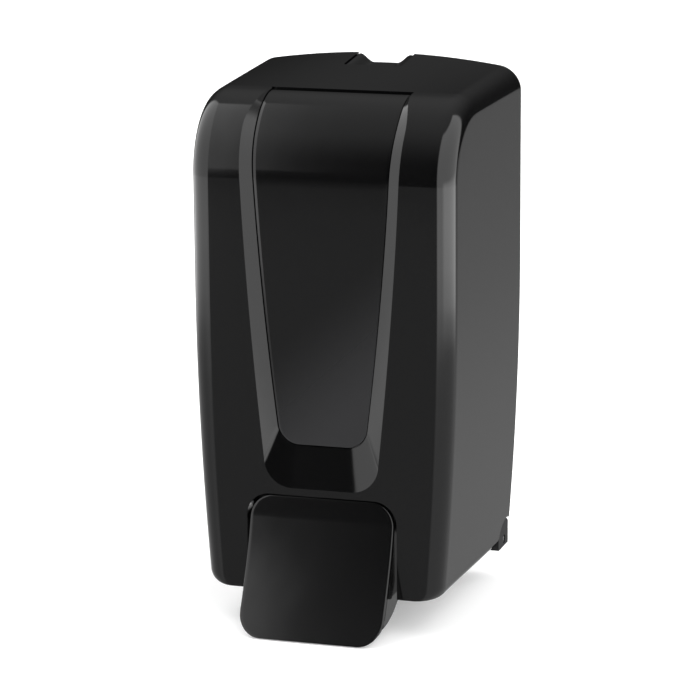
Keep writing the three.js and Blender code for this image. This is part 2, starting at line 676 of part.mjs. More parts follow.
function yokeGeometry() {
  const frontY = LEVER_PIVOT_Y - 7;
  const plate = box(-armOuterX, armOuterX, frontY, LEVER_PIVOT_Y + 15, yokeBottom, yokePlateTop);
  const arms = sides.map((side) => {
    const [x0, x1] = mirrored(side, armInnerX, armOuterX);
    return box(x0, x1, frontY, TANK_Y + 5, yokeBottom, yokeBottom + 5.5);
  });
  const nubs = sides.map((side) => {
    const [x0, x1] = mirrored(side, NOZZLE_TIP_RADIUS + 1, armInnerX + EMBED);
    return rodX(YOKE_NUB_RADIUS, x0, x1, TANK_Y, NUB_HEIGHT, 20);
  });
  const bores = sides.map((side) => rodZ(SCREW_BORE, 0, 30, side * yokeScrewX, yokeScrewY, 16));
  return cut(join(plate, ...arms, ...nubs), ...bores);
}

addPart('push_lever', 'gloss', leverGeometry());
addPart('pump_yoke', 'moulding', yokeGeometry());
for (const [name, side] of Object.entries(SIDES)) {
  const place = [side * yokeScrewX, yokeScrewY, yokePlateTop + FIT];
  addPart(`yoke_screw_${name}`, 'steel', panHeadScrew(place, 3, 2, 1.4, 8, Math.PI));
}
addPart('lever_pin', 'steel',
  rodX(LEVER_PIN_RADIUS, -leverLugOuterX - 1, leverLugOuterX + 1, LEVER_PIVOT_Y, LEVER_PIVOT_HEIGHT, 24));

// ---------------------------------------------------------------- back plate and hinge pins

function plateShape(inset) {
  const shape = new THREE.Shape();
  const shrink = COVER_WALL + PLATE_CLEARANCE + inset;
  const half = (z) => halfWidth(-PLATE_RIM_DEPTH, z) - shrink;
  const crown = (x) => PLATE_TOP - inset - CROWN * x * x;
  const radius = PLATE_CORNER;
  const heights = steps(HINGE_LUG_BOTTOM + inset, PLATE_TOP - inset - 18, 8);
  const top = steps(half(PLATE_TOP) - radius, -half(PLATE_TOP) + radius, 10);
  heights.forEach((z, i) => (i ? shape.lineTo(half(z), z) : shape.moveTo(half(z), z)));
  const shoulder = crown(top[0]) - radius;
  for (const angle of steps(0, Math.PI / 2, 6)) {
    shape.lineTo(top[0] + radius * Math.cos(angle), shoulder + radius * Math.sin(angle));
  }
  top.slice(1, -1).forEach((x) => shape.lineTo(x, crown(x)));
  for (const angle of steps(Math.PI / 2, Math.PI, 6)) {
    shape.lineTo(-top[0] + radius * Math.cos(angle), shoulder + radius * Math.sin(angle));
  }
  heights.reverse().forEach((z) => shape.lineTo(-half(z), z));
  return shape;
}

function hingeLug(side) {
  const [x0, x1] = mirrored(side, lugInnerX, lugOuterX);
  const [w0, w1] = mirrored(side, lugInnerX - 12, lugOuterX);
  const round = rodX(HINGE_LUG_RADIUS, x0, x1, HINGE_Y, HINGE_HEIGHT, 48);
  const keep = box(x0, x1, -BEYOND, 0, HINGE_LUG_BOTTOM, HINGE_HEIGHT + HINGE_LUG_RADIUS + EMBED);
  const foot = box(w0, w1, -PLATE_THICKNESS + 1, 0, HINGE_LUG_BOTTOM, HINGE_HEIGHT + 8);
  return join(common(round, keep), foot);
}

function backPlate() {
  const tray = cut(
    plateY(plateShape(0), -PLATE_RIM_DEPTH, 0),
    plateY(plateShape(PLATE_RIM_WALL), -PLATE_RIM_DEPTH - BEYOND, -PLATE_THICKNESS),
    box(-COVER_WIDTH, COVER_WIDTH, -BEYOND, -PLATE_THICKNESS, -BEYOND, HINGE_HEIGHT + 32),
    box(-buttonOpening - 8, buttonOpening + 8, -BEYOND, -PLATE_THICKNESS, PLATE_TOP - 12, PLATE_TOP + BEYOND),
  );
  const holes = [WALL_HOLE_LOW, PLATE_TOP - WALL_HOLE_HIGH].flatMap((z) => sides.map((side) => (
    rodY(WALL_HOLE_RADIUS, -BEYOND, BEYOND, side * WALL_HOLE_X, z, 24))));
  const bosses = [
    ...sides.map((side) => [side * BRACKET_SCREW_X, BRACKET_SCREW_HEIGHT]),
    ...sides.map((side) => [side * LATCH_SCREW_X, LATCH_SCREW_HEIGHT]),
  ].map(([x, z]) => rodY(SCREW_BORE, -BEYOND, BEYOND, x, z, 16));
  return cut(
    join(tray, ...sides.map(hingeLug)),
    ...holes,
    ...bosses,
    rodX(HINGE_PIN_RADIUS + FIT, -COVER_WIDTH, COVER_WIDTH, HINGE_Y, HINGE_HEIGHT, 24),
  );
}

addPart('back_plate', 'moulding', backPlate());
for (const [name, side] of Object.entries(SIDES)) {
  const [x0, x1] = mirrored(side, knuckleInnerX - 1, lugOuterX - 0.5);
  addPart(`hinge_pin_${name}`, 'steel', rodX(HINGE_PIN_RADIUS, x0, x1, HINGE_Y, HINGE_HEIGHT, 24));
}

// ---------------------------------------------------------------- reservoir and bracket

const tankHalf = TANK_WIDTH / 2;
const tankRearY = -TANK_SETBACK;
const tankFrontY = tankRearY - TANK_DEPTH;

function reservoir() {
  const outer = plateZ(roundedRectangle(tankHalf, tankFrontY, tankRearY, TANK_CORNER), TANK_BOTTOM, TANK_TOP);
  const hollow = roundedRectangle(
    tankHalf - TANK_WALL, tankFrontY + TANK_WALL, tankRearY - TANK_WALL, TANK_CORNER - TANK_WALL);
  const inner = plateZ(hollow, TANK_BOTTOM + TANK_WALL, TANK_TOP + BEYOND);
  const thread = NECK_RADIUS + 1.6;
  const neck = turned([
    [0, NECK_BOTTOM], [NECK_RADIUS, NECK_BOTTOM], [NECK_RADIUS, NECK_BOTTOM + 3],
    [thread, NECK_BOTTOM + 4], [NECK_RADIUS, NECK_BOTTOM + 5], [NECK_RADIUS, NECK_BOTTOM + 7],
    [thread, NECK_BOTTOM + 8], [NECK_RADIUS, NECK_BOTTOM + 9], [NECK_RADIUS, TANK_BOTTOM + EMBED],
    [0, TANK_BOTTOM + EMBED],
  ], 0, TANK_Y);
  const bore = rodZ(NECK_RADIUS - NECK_WALL, NECK_BOTTOM - EMBED, TANK_BOTTOM + TANK_WALL + EMBED, 0, TANK_Y);
  return cut(join(outer, neck), inner, bore);
}

function reservoirLid() {
  const low = TANK_TOP + FIT;
  const cap = roundedRectangle(tankHalf, tankFrontY, tankRearY, TANK_CORNER);
  const inset = TANK_WALL + 0.4;
  const plug = roundedRectangle(
    tankHalf - inset, tankFrontY + inset, tankRearY - inset, TANK_CORNER - inset);
  const pull = box(-12, 12, tankFrontY + 10, tankFrontY + 13, low, low + LID_THICKNESS + 4);
  return join(
    plateZ(cap, low, low + LID_THICKNESS), plateZ(plug, low - 4, low + EMBED), pull);
}

function bracket() {
  const top = TANK_BOTTOM - FIT;
  const low = top - BRACKET_THICKNESS;
  const half = tankHalf - BRACKET_SIDE_INSET;
  const rearY = -PLATE_THICKNESS - FIT;
  const frontY = tankFrontY + BRACKET_FRONT_INSET;
  const slot = NECK_RADIUS + 1.5;
  const rims = sides.map((side) => {
    const [x0, x1] = mirrored(side, half - 2.5, half);
    return box(x0, x1, frontY, rearY, low - BRACKET_RIM, low + EMBED);
  });
  const body = join(
    box(-half, half, frontY, rearY, low, top),
    box(-half, half, rearY - 3, rearY, BRACKET_FLANGE_BOTTOM, low + EMBED),
    ...rims,
  );
  return cut(
    body,
    rodZ(slot, low - EMBED, top + EMBED, 0, TANK_Y, 40),
    box(-slot, slot, frontY - EMBED, TANK_Y, low - EMBED, top + EMBED),
    ...sides.map((side) => (
      rodY(SCREW_BORE, rearY - 10, 0, side * BRACKET_SCREW_X, BRACKET_SCREW_HEIGHT, 16))),
  );
}

addPart('reservoir', 'tank', reservoir());
addPart('reservoir_lid', 'natural', reservoirLid());
addPart('reservoir_bracket', 'moulding', bracket());
for (const [name, side] of Object.entries(SIDES)) {
  const place = [side * BRACKET_SCREW_X, -PLATE_THICKNESS - 3 - FIT * 2, BRACKET_SCREW_HEIGHT];
  addPart(`bracket_screw_${name}`, 'steel', panHeadScrew(place, 3, 2, 1.4, 6, -Math.PI / 2));
}

// ---------------------------------------------------------------- pump

const gasketLow = NECK_BOTTOM - FIT - 1.4;
const barrelFlangeTop = gasketLow - FIT;
const barrelFlangeLow = COLLAR_BOTTOM + 2.4 + FIT;
const collarInner = NECK_RADIUS + 2.6;

addPart('neck_gasket', 'rubber', turned([
  [BARREL_RADIUS + 0.8, gasketLow], [NECK_RADIUS + 1, gasketLow],
  [NECK_RADIUS + 1, gasketLow + 1.4], [BARREL_RADIUS + 0.8, gasketLow + 1.4],
  [BARREL_RADIUS + 0.8, gasketLow],
], 0, TANK_Y));

function pumpBarrel() {
  const cage = BALL_RADIUS + 1.5;
  const seat = BALL_RADIUS - 1;
  const profile = [
    [BARREL_BORE, BARREL_BOTTOM], [BARREL_RADIUS, BARREL_BOTTOM], [BARREL_RADIUS, barrelFlangeLow],
    [NECK_RADIUS + 2, barrelFlangeLow], [NECK_RADIUS + 2, barrelFlangeTop],
    [BARREL_RADIUS, barrelFlangeTop], [BARREL_RADIUS, BARREL_TOP - 5], [cage + 2, BARREL_TOP],
    [seat, BARREL_TOP], [seat, BARREL_TOP - 2], [cage, BARREL_TOP - 3], [cage, CHAMBER_TOP],
    [BARREL_BORE, CHAMBER_TOP - 1], [BARREL_BORE, BARREL_BOTTOM],
  ];
  return turned(profile, 0, TANK_Y);
}

function pumpCollar() {
  const ring = turned([
    [BARREL_RADIUS + 0.4, COLLAR_BOTTOM], [COLLAR_RADIUS - 1, COLLAR_BOTTOM],
    [COLLAR_RADIUS, COLLAR_BOTTOM + 1], [COLLAR_RADIUS, COLLAR_TOP], [collarInner, COLLAR_TOP],
    [collarInner, barrelFlangeLow - FIT], [BARREL_RADIUS + 0.4, barrelFlangeLow - FIT],
    [BARREL_RADIUS + 0.4, COLLAR_BOTTOM],
  ], 0, TANK_Y, 48);
  const grooves = steps(0, 360, 16).slice(0, -1).map(THREE.MathUtils.degToRad).map((angle) => {
    const x = (COLLAR_RADIUS + 0.6) * Math.cos(angle);
    const y = TANK_Y + (COLLAR_RADIUS + 0.6) * Math.sin(angle);
    return rodZ(1.3, COLLAR_BOTTOM + 3, COLLAR_TOP + EMBED, x, y, 8);
  });
  return cut(ring, ...grooves);
}

const guideLow = BARREL_BOTTOM + 0.2;
const headLow = guideLow + 2.8;
const headTop = headLow + PISTON_HEIGHT;
const ringGroove = PISTON_RADIUS - 1.6;
const ringMiddle = (headLow + headTop) / 2;
const tipTop = NOZZLE_BOTTOM + 9;

addPart('pump_barrel', 'natural', pumpBarrel());
addPart('pump_collar', 'moulding', pumpCollar());
addPart('inlet_ball', 'steel',
  new THREE.SphereGeometry(BALL_RADIUS, 20, 12).rotateX(Math.PI / 2).translate(0, TANK_Y, BARREL_TOP - 5));
addPart('stem_guide', 'moulding', turned([
  [STEM_RADIUS + 0.4, guideLow], [BARREL_BORE - FIT, guideLow], [BARREL_BORE - FIT, guideLow + 2],
  [STEM_RADIUS + 0.4, guideLow + 2], [STEM_RADIUS + 0.4, guideLow],
], 0, TANK_Y));

addPart('pump_piston', 'natural', turned([
  [STEM_BORE, NOZZLE_BOTTOM + 3], [NOZZLE_RADIUS, NOZZLE_BOTTOM + 3], [NOZZLE_RADIUS, FLANGE_BOTTOM],
  [FLANGE_RADIUS, FLANGE_BOTTOM], [FLANGE_RADIUS, FLANGE_TOP], [STEM_RADIUS, FLANGE_TOP],
  [STEM_RADIUS, headLow], [PISTON_RADIUS, headLow], [PISTON_RADIUS, ringMiddle - 1.2],
  [ringGroove, ringMiddle - 1.2], [ringGroove, ringMiddle + 1.2], [PISTON_RADIUS, ringMiddle + 1.2],
  [PISTON_RADIUS, headTop], [STEM_BORE, headTop], [STEM_BORE, NOZZLE_BOTTOM + 3],
], 0, TANK_Y));
addPart('piston_ring', 'rubber',
  new THREE.TorusGeometry(ringGroove + 1.25, 0.9, 8, ROUND_SIDES).translate(0, TANK_Y, ringMiddle));
addPart('nozzle_tip', 'moulding', turned([
  [STEM_BORE - 0.5, NOZZLE_BOTTOM], [NOZZLE_TIP_RADIUS - 2, NOZZLE_BOTTOM],
  [NOZZLE_TIP_RADIUS, NOZZLE_BOTTOM + 3], [NOZZLE_TIP_RADIUS, tipTop], [NOZZLE_RADIUS + FIT, tipTop],
  [NOZZLE_RADIUS + FIT, NOZZLE_BOTTOM + 2.7], [STEM_BORE - 0.5, NOZZLE_BOTTOM + 2.7],
  [STEM_BORE - 0.5, NOZZLE_BOTTOM],
], 0, TANK_Y));
addPart('outlet_valve', 'silicone', turned([
  [0.5, NOZZLE_BOTTOM + 4], [1.4, NOZZLE_BOTTOM + 4], [STEM_BORE - FIT, NOZZLE_BOTTOM + 7],
  [STEM_BORE - FIT, NOZZLE_BOTTOM + 9], [STEM_BORE - 0.9, NOZZLE_BOTTOM + 9],
  [STEM_BORE - 0.9, NOZZLE_BOTTOM + 7], [0.5, NOZZLE_BOTTOM + 4],
], 0, TANK_Y, 16));
addPart('pump_spring', 'steel',
  coil(STEM_RADIUS + 2.4, 0.6, 4, FLANGE_TOP + FIT, guideLow - FIT, 0, TANK_Y));

// ---------------------------------------------------------------- cover latch

const latchPocketHalf = LATCH_POST_HALF_WIDTH + 0.5;
const latchY = (BUTTON_FRONT_Y + BUTTON_REAR_Y) / 2;
const guideRearY = -PLATE_THICKNESS - FIT;
const guideTop = PLATE_TOP - 5.5;
const buttonLow = guideTop + BUTTON_TRAVEL + 0.5;
const pocketFloor = LATCH_GUIDE_BOTTOM + 3;
const postLow = pocketFloor + 12;

function latchGuide() {
  const half = LATCH_GUIDE_HALF_WIDTH;
  const frontY = latchY - latchPocketHalf - 3;
  const body = box(-half, half, frontY, guideRearY, LATCH_GUIDE_BOTTOM, guideTop);
  const pocket = box(
    -latchPocketHalf, latchPocketHalf, latchY - latchPocketHalf, latchY + latchPocketHalf,
    pocketFloor, guideTop + EMBED);
  const holes = (radius, rearY) => sides.map((side) => (
    rodY(radius, frontY - EMBED, rearY, side * LATCH_SCREW_X, LATCH_SCREW_HEIGHT, 20)));
  const recesses = holes(3.6, guideRearY - 6);
  const bores = holes(SCREW_BORE, 0);
  return cut(body, pocket, ...recesses, ...bores);
}

function releaseButton() {
  const section = (y) => {
    const high = along(lengthTo(y), 0)[1];
    const floor = high - BUTTON_SCOOP_DEPTH;
    const slope = [[BUTTON_HALF_WIDTH, high - 0.3], [BUTTON_SCOOP_HALF_WIDTH + 2, floor + 1]];
    const right = [...slope, [BUTTON_SCOOP_HALF_WIDTH, floor]];
    const upper = [...right.map(([x, z]) => [-x, z]), ...right.reverse()];
    const lower = upper.map(([x]) => [x, buttonLow]).reverse();
    return [...upper, ...lower].map(([x, z]) => [x, y, z]);
  };
  const cap = loft([section(BUTTON_FRONT_Y), section(BUTTON_REAR_Y)]);
  const half = LATCH_POST_HALF_WIDTH;
  const post = box(-half, half, latchY - half, latchY + half, postLow, buttonLow + EMBED);
  const hooks = sides.map((side) => {
    const [x0, x1] = mirrored(side, BUTTON_HALF_WIDTH - EMBED, latchRibOuterX - 0.5);
    return box(x0, x1, BUTTON_FRONT_Y, latchRibFrontY - 0.6, buttonLow, latchHookTop);
  });
  return join(cap, post, ...hooks);
}

addPart('latch_guide', 'moulding', latchGuide());
for (const [name, side] of Object.entries(SIDES)) {
  const place = [side * LATCH_SCREW_X, guideRearY - 6 - FIT, LATCH_SCREW_HEIGHT];
  addPart(`latch_screw_${name}`, 'steel', panHeadScrew(place, 3, 2, 1.4, 8, -Math.PI / 2));
}
addPart('release_button', 'gloss', releaseButton());
addPart('latch_spring', 'steel', coil(4.5, 0.5, 4, pocketFloor + FIT, postLow - FIT, 0, latchY));

export default dispenser;
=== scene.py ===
"""Wall mounted soap dispenser: finished surfaces, finishes, lights and camera."""
import math

import bmesh
import bpy
from mathutils import Matrix, Vector


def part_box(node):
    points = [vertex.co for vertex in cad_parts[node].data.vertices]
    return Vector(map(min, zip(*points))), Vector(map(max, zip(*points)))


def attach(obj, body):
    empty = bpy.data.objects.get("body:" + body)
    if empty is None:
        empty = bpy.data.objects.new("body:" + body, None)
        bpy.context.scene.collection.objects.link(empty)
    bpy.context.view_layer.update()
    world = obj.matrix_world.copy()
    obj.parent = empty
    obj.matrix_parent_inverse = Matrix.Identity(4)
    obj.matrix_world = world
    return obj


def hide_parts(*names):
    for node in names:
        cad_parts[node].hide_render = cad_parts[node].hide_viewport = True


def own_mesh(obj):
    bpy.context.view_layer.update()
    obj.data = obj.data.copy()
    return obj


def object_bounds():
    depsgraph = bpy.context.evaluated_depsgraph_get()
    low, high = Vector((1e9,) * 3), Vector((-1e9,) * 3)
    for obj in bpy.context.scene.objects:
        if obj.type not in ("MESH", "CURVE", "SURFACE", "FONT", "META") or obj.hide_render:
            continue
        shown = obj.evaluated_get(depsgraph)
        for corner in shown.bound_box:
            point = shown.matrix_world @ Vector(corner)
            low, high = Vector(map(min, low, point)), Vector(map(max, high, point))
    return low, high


bl_info = {
    "name": "Wall Soap Dispenser",
    "version": (1, 0, 0),
    "blender": (4, 5, 0),
    "location": "3D View > Sidebar > Dispenser",
    "description": "Builds the finished surfaces of a wall mounted soap dispenser round its frame",
    "category": "Object",
}

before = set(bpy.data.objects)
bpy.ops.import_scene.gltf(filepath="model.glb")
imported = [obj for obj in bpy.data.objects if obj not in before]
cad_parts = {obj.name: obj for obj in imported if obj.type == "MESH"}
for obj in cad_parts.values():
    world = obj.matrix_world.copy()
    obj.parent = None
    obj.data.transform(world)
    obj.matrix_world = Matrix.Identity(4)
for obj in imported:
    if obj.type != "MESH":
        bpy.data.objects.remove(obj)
CAD_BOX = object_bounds()

# Sizes are in millimetres. Heights are measured from the bottom edge of the front cover.
MM = 0.001
PLATE_TOP = 240.0
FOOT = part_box("back_plate")[1].z / MM - PLATE_TOP

# ------------------------------------------------------------------ the cover's form

COVER_HALF = 65.0
COVER_DEPTH = 115.0
COVER_REAR = -3.0
WALL = 2.5
EDGE_START = 201.0
EDGE_RADIUS = 38.0
TOP_SLOPE = math.radians(6.2)
SIDE_DRAFT = 4.0
WAIST_START = 150.0
WAIST_DEPTH = 6.2
CORNER_RADIUS = 10.0
FOOT_RADIUS = 6.0
CROWN = 0.0013
FRONT = -COVER_DEPTH
ARC_Y = FRONT + EDGE_RADIUS
ARC_ANGLE = math.pi / 2 - TOP_SLOPE
ARC_END = EDGE_START + EDGE_RADIUS * ARC_ANGLE

RECESS_TOP_DEPTH = 0.7
RECESS_FADE = (226.0, 258.0)
RECESS_LOW = 51.5
RECESS_CORNER = 14.0
RECESS_HALF = 40.2
RECESS_TAPER = 11.1
PANEL_HIGH = 260.7
PANEL_LOW = 72.5
PANEL_CORNER = 9.0
PANEL_HALF = 34.6
PANEL_TAPER = 13.9
PANEL_THICKNESS = 2.0
RECESS_END = 0.5

LEVER_HALF = 36.0
LEVER_TOP = 47.3
LEVER_BOTTOM = -17.5
LEVER_CORNER = 11.5
LEVER_WALL = 2.5
FLARE_START = 37.7
LEVER_LEAN = 0.09
FLARE = 0.0567
FLARE_POWER = 1.45
LEVER_BULGE = 0.3
LEVER_PIVOT = (-104.0, 40.0)
LEVER_EYE = 6.0
LEVER_TOP_SETBACK = 1.0
CHEEK_FOOT = -9.2
OPENING_TOP = LEVER_TOP + 0.7
OPENING_LOW = -30.0
RETURN_WALL = 1.5
RETURN_REAR = -99.0
RETURN_FOOT = 0.7
HINGE = (-7.5, 2.0)
HINGE_CUT = 11.5
KNUCKLE_RADIUS = 3.9
POCKET_ROOM = 0.3

BUTTON_HALF = 14.0
BUTTON_UNDER = 238.0
BUTTON_SCOOP = 4.6
BUTTON_ROUND = 0.8
NOTCH_HALF = 14.5
NOTCH_RADIUS = 1.6
NOTCH_CLEAR = 0.6


def smooth(low, high, value):
    t = min(max((value - low) / (high - low), 0.0), 1.0)
    return t * t * (3 - 2 * t)


def round_off(distance, radius):
    into = min(max(distance, 0.0), radius)
    return radius - math.sqrt(radius * radius - into * into)


def steps(low, high, count):
    return [low + (high - low) * i / count for i in range(count + 1)]


def front_half_width(z):
    draw = max(0.0, 1 - z / WAIST_START)
    return COVER_HALF - WAIST_DEPTH * draw * draw


def half_width(y, z):
    return front_half_width(z) + SIDE_DRAFT * (1 + y / COVER_DEPTH)


def along(s, depth):
    """The point (y, z) at distance s up the cover's middle line, depth below its surface."""
    if s <= EDGE_START:
        return FRONT + depth, s
    angle = min((s - EDGE_START) / EDGE_RADIUS, ARC_ANGLE)
    reach = EDGE_RADIUS - depth
    rest = max(0.0, s - ARC_END)
    y = ARC_Y - reach * math.cos(angle) + rest * math.cos(TOP_SLOPE)
    z = EDGE_START + reach * math.sin(angle) + rest * math.sin(TOP_SLOPE)
    return y, z


TOP_LENGTH = (COVER_REAR - along(ARC_END, 0)[0]) / math.cos(TOP_SLOPE)
RIM = ARC_END + TOP_LENGTH


def outline_half(s, top, taper):
    return top - taper * (max(0.0, 240 - s) / 170) ** 1.58


def fade(s):
    return 1 - smooth(RECESS_FADE[0], RECESS_FADE[1], s)


def panel_half(s):
    return outline_half(s, PANEL_HALF, PANEL_TAPER)


def recess_half(s):
    full = outline_half(s, RECESS_HALF, RECESS_TAPER)
    narrow = min(full, PANEL_HALF + 1)
    return narrow + (full - narrow) * fade(s)


def outside(x, s, half, low, high, corner):
    """Signed distance from an outline on the front, positive outside it."""
    across = abs(x) - half + corner
    down = low - s + corner
    rounded = min(max(across, down), 0.0) + math.hypot(max(across, 0), max(down, 0)) - corner
    return max(rounded, s - high)


def recess_outside(x, s):
    return outside(x, s, recess_half(s), RECESS_LOW, PANEL_HIGH + RECESS_END, RECESS_CORNER)


def floor_depth(s, settings):
    return RECESS_TOP_DEPTH + (settings.recess_depth / MM - RECESS_TOP_DEPTH) * fade(s)


def backing_depth_at(x, s, settings):
    share = min(max((2.5 - recess_outside(x, s)) / 1.5, 0.0), 1.0)
    return share * (floor_depth(s, settings) + PANEL_THICKNESS + POCKET_ROOM)


# ------------------------------------------------------------------ mesh helpers


def to_frame(point):
    x, y, z = point
    return Vector((x * MM, y * MM, (z + FOOT) * MM))


def new_piece(name, points, faces):
    mesh = bpy.data.meshes.new(name)
    mesh.from_pydata([to_frame(point) for point in points], [], faces)
    work = bmesh.new()
    work.from_mesh(mesh)
    bmesh.ops.remove_doubles(work, verts=work.verts, dist=2e-6)
    bmesh.ops.dissolve_degenerate(work, edges=work.edges, dist=1e-6)
    bmesh.ops.recalc_face_normals(work, faces=work.faces)
    work.to_mesh(mesh)
    work.free()
    piece = bpy.data.objects.new(name, mesh)
    bpy.context.scene.collection.objects.link(piece)
    return piece


def grid_faces(rows, columns, start=0):
    faces = []
    for r in range(rows - 1):
        for c in range(columns - 1):
            a = start + r * columns + c
            faces.append((a, a + 1, a + columns + 1, a + columns))
    return faces


def border(rows, columns):
    """The indices round the edge of a grid, in order."""
    bottom = list(range(columns))
    right = [r * columns + columns - 1 for r in range(1, rows)]
    top = [(rows - 1) * columns + c for c in range(columns - 2, -1, -1)]
    left = [r * columns for r in range(rows - 2, 0, -1)]
    return bottom + right + top + left


def skin_pair(name, outer, inner):
    """A closed piece between two grids of the same size."""
    rows, columns = len(outer), len(outer[0])
    count = rows * columns
    points = [p for row in outer for p in row] + [p for row in inner for p in row]
    faces = grid_faces(rows, columns) + grid_faces(rows, columns, count)
    ring = border(rows, columns)
    for a, b in zip(ring, ring[1:] + ring[:1]):
        faces.append((a, b, b + count, a + count))
    return new_piece(name, points, faces)


def loft(name, rings):
    """A closed piece through rings of equal count, with flat ends."""
    count = len(rings[0])
    faces = [tuple(range(count)), tuple((len(rings) - 1) * count + i for i in range(count))]
    for r in range(len(rings) - 1):
        for i in range(count):
            j = (i + 1) % count
            faces.append((r * count + i, r * count + j, (r + 1) * count + j, (r + 1) * count + i))
    return new_piece(name, [p for ring in rings for p in ring], faces)


def prism(name, outline, axis, low, high):
    """An outline of two coordinates, drawn square to the axis and as long as low to high."""
    def place(pair, distance):
        values = list(pair)
        values.insert(axis, distance)
        return tuple(values)
    return loft(name, [[place(pair, low) for pair in outline], [place(pair, high) for pair in outline]])


def circle(radius, across, up, segments=48):
    angles = [2 * math.pi * i / segments for i in range(segments)]
    return [(across + radius * math.cos(a), up + radius * math.sin(a)) for a in angles]


def rounded_outline(half, low, high, radius, segments=14):
    points = []
    turns = ((half, low, -90), (half, high, 0), (-half, high, 90), (-half, low, 180))
    for x, z, start in turns:
        cx = x - math.copysign(radius, x)
        cz = z + (radius if z == low else -radius)
        for angle in steps(start, start + 90, segments):
            a = math.radians(angle)
            points.append((cx + radius * math.cos(a), cz + radius * math.sin(a)))
    return points


def block(name, low, high, radius=0.6, segments=3):
    """A box between two corners, with rounded edges."""
    (x0, y0, z0), (x1, y1, z1) = low, high
    outline = [(x0, y0), (x1, y0), (x1, y1), (x0, y1)]
    piece = prism(name, outline, 2, z0, z1)
    soften(piece, radius, segments)
    return piece


def apply_modifiers(piece):
    view = bpy.context.evaluated_depsgraph_get()
    mesh = bpy.data.meshes.new_from_object(piece.evaluated_get(view))
    old = piece.data
    piece.modifiers.clear()
    piece.data = mesh
    mesh.name = piece.name
    bpy.data.meshes.remove(old)


def soften(piece, radius, segments=3, angle=40):
    bevel = piece.modifiers.new("soft edges", "BEVEL")
    bevel.width = radius * MM
    bevel.segments = segments
    bevel.limit_method = "ANGLE"
    bevel.angle_limit = math.radians(angle)
    bpy.context.view_layer.update()
    apply_modifiers(piece)


def carve(piece, tools, operation="DIFFERENCE"):
    for tool in tools:
        change = piece.modifiers.new(operation.lower(), "BOOLEAN")
        change.operation = operation
        change.solver = "EXACT"
        change.object = tool
    bpy.context.view_layer.update()
    apply_modifiers(piece)
    for tool in tools:
        bpy.data.objects.remove(tool)


def merge(pieces):
    """Joins loose pieces into the first one."""
    work = bmesh.new()
    for piece in pieces:
        work.from_mesh(piece.data)
    work.to_mesh(pieces[0].data)
    work.free()
    for piece in pieces[1:]:
        bpy.data.objects.remove(piece)
    return pieces[0]


def polish(piece, sharp=38):
    """Smooth shading, broken at edges sharper than the angle."""
    piece.data.shade_smooth()
    piece.data.set_sharp_from_angle(angle=math.radians(sharp))
    return piece


def settle(piece, body, finish, nodes=()):
    piece.data.materials.clear()
    piece.data.materials.append(finish)
    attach(piece, body)
    if nodes:
        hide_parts(*nodes)
    return piece


# ------------------------------------------------------------------ shader helpers


class Value:
    """A shader socket that can stand in a sum."""

    def __init__(self, graph, socket):
        self.graph = graph
        self.socket = socket

    def math(self, operation, *terms):
        return self.graph.node("ShaderNodeMath", {"operation": operation}, dict(enumerate(terms)))

    def __add__(self, other):
        return self.math("ADD", self, other)

    def __radd__(self, other):
        return self.math("ADD", other, self)

    def __sub__(self, other):
        return self.math("SUBTRACT", self, other)

    def __rsub__(self, other):
        return self.math("SUBTRACT", other, self)

    def __mul__(self, other):
        return self.math("MULTIPLY", self, other)

    def __rmul__(self, other):
        return self.math("MULTIPLY", other, self)

    def step(self, low, high):
        """0 below low, 1 above high, smooth between."""
        settings = {"interpolation_type": "SMOOTHSTEP"}
        sockets = {"Value": self, "From Min": low, "From Max": high}
        return self.graph.node("ShaderNodeMapRange", settings, sockets)


class Graph:
    """The nodes of one material or world."""

    def __init__(self, tree):
        self.tree = tree

    def fill(self, node, sockets):
        for key, value in sockets.items():
            target = node.inputs[key]
            if isinstance(value, Value):
                self.tree.links.new(value.socket, target)
            else:
                target.default_value = value

    def node(self, kind, settings, sockets, output=0):
        node = self.tree.nodes.new(kind)
        for key, value in settings.items():
            if key == "stops":
                for element, (place, shade) in zip(node.color_ramp.elements, value):
                    element.position = place
                    element.color = shade
            else:
                setattr(node, key, value)
        self.fill(node, sockets)
        return Value(self, node.outputs[output])

    def mix(self, factor, first, second):
        return self.node("ShaderNodeMix", {"data_type": "RGBA"}, {0: factor, 6: first, 7: second}, 2)


class Finish(Graph):
    """A material with one Principled surface."""

    def __init__(self, name, material=None):
        self.material = material or bpy.data.materials.new(name)
        self.material.use_nodes = True
        super().__init__(self.material.node_tree)
        self.surface = self.tree.nodes["Principled BSDF"]

    def place(self):
        return self.node("ShaderNodeTexCoord", {}, {}, "Object")

    def noise(self, scale, detail=3.0, roughness=0.5):
        sockets = {"Vector": self.place(), "Scale": scale, "Detail": detail, "Roughness": roughness}
        return self.node("ShaderNodeTexNoise", {}, sockets)

    def bump(self, height, strength, distance):
        sockets = {"Height": height, "Strength": strength, "Distance": distance}
        return self.node("ShaderNodeBump", {}, sockets)

    def set(self, **sockets):
        self.fill(self.surface, {key.replace("_", " "): value for key, value in sockets.items()})


# Painted sheen: the panel's base colour is lightened towards its lower corner in place of a reflection.
PAINTED_SHEEN = 9.0                  # how much paler the panel's lower corner is
PAINTED_SHEEN_FROM = -(0.145 + FOOT * MM)


def tint(colour, factor):
    return (*(min(1.0, channel * factor) for channel in colour), 1.0)


def polished_plastic(name, colour, roughness, specular):
    """Moulded gloss: faint waviness, fine dust of roughness, nearly black."""
    finish = Finish(name)
    broad = finish.noise(9.0)
    fine = finish.noise(900.0, 2.0)
    finish.set(
        Base_Color=finish.mix(broad, tint(colour, 0.85), tint(colour, 1.2)),
        Roughness=roughness + 0.035 * (broad - 0.5) + 0.02 * fine,
        Normal=finish.bump(finish.noise(55.0, 1.0), 0.035, 0.0006),
    )
    finish.surface.inputs["Specular IOR Level"].default_value = specular
    return finish.material


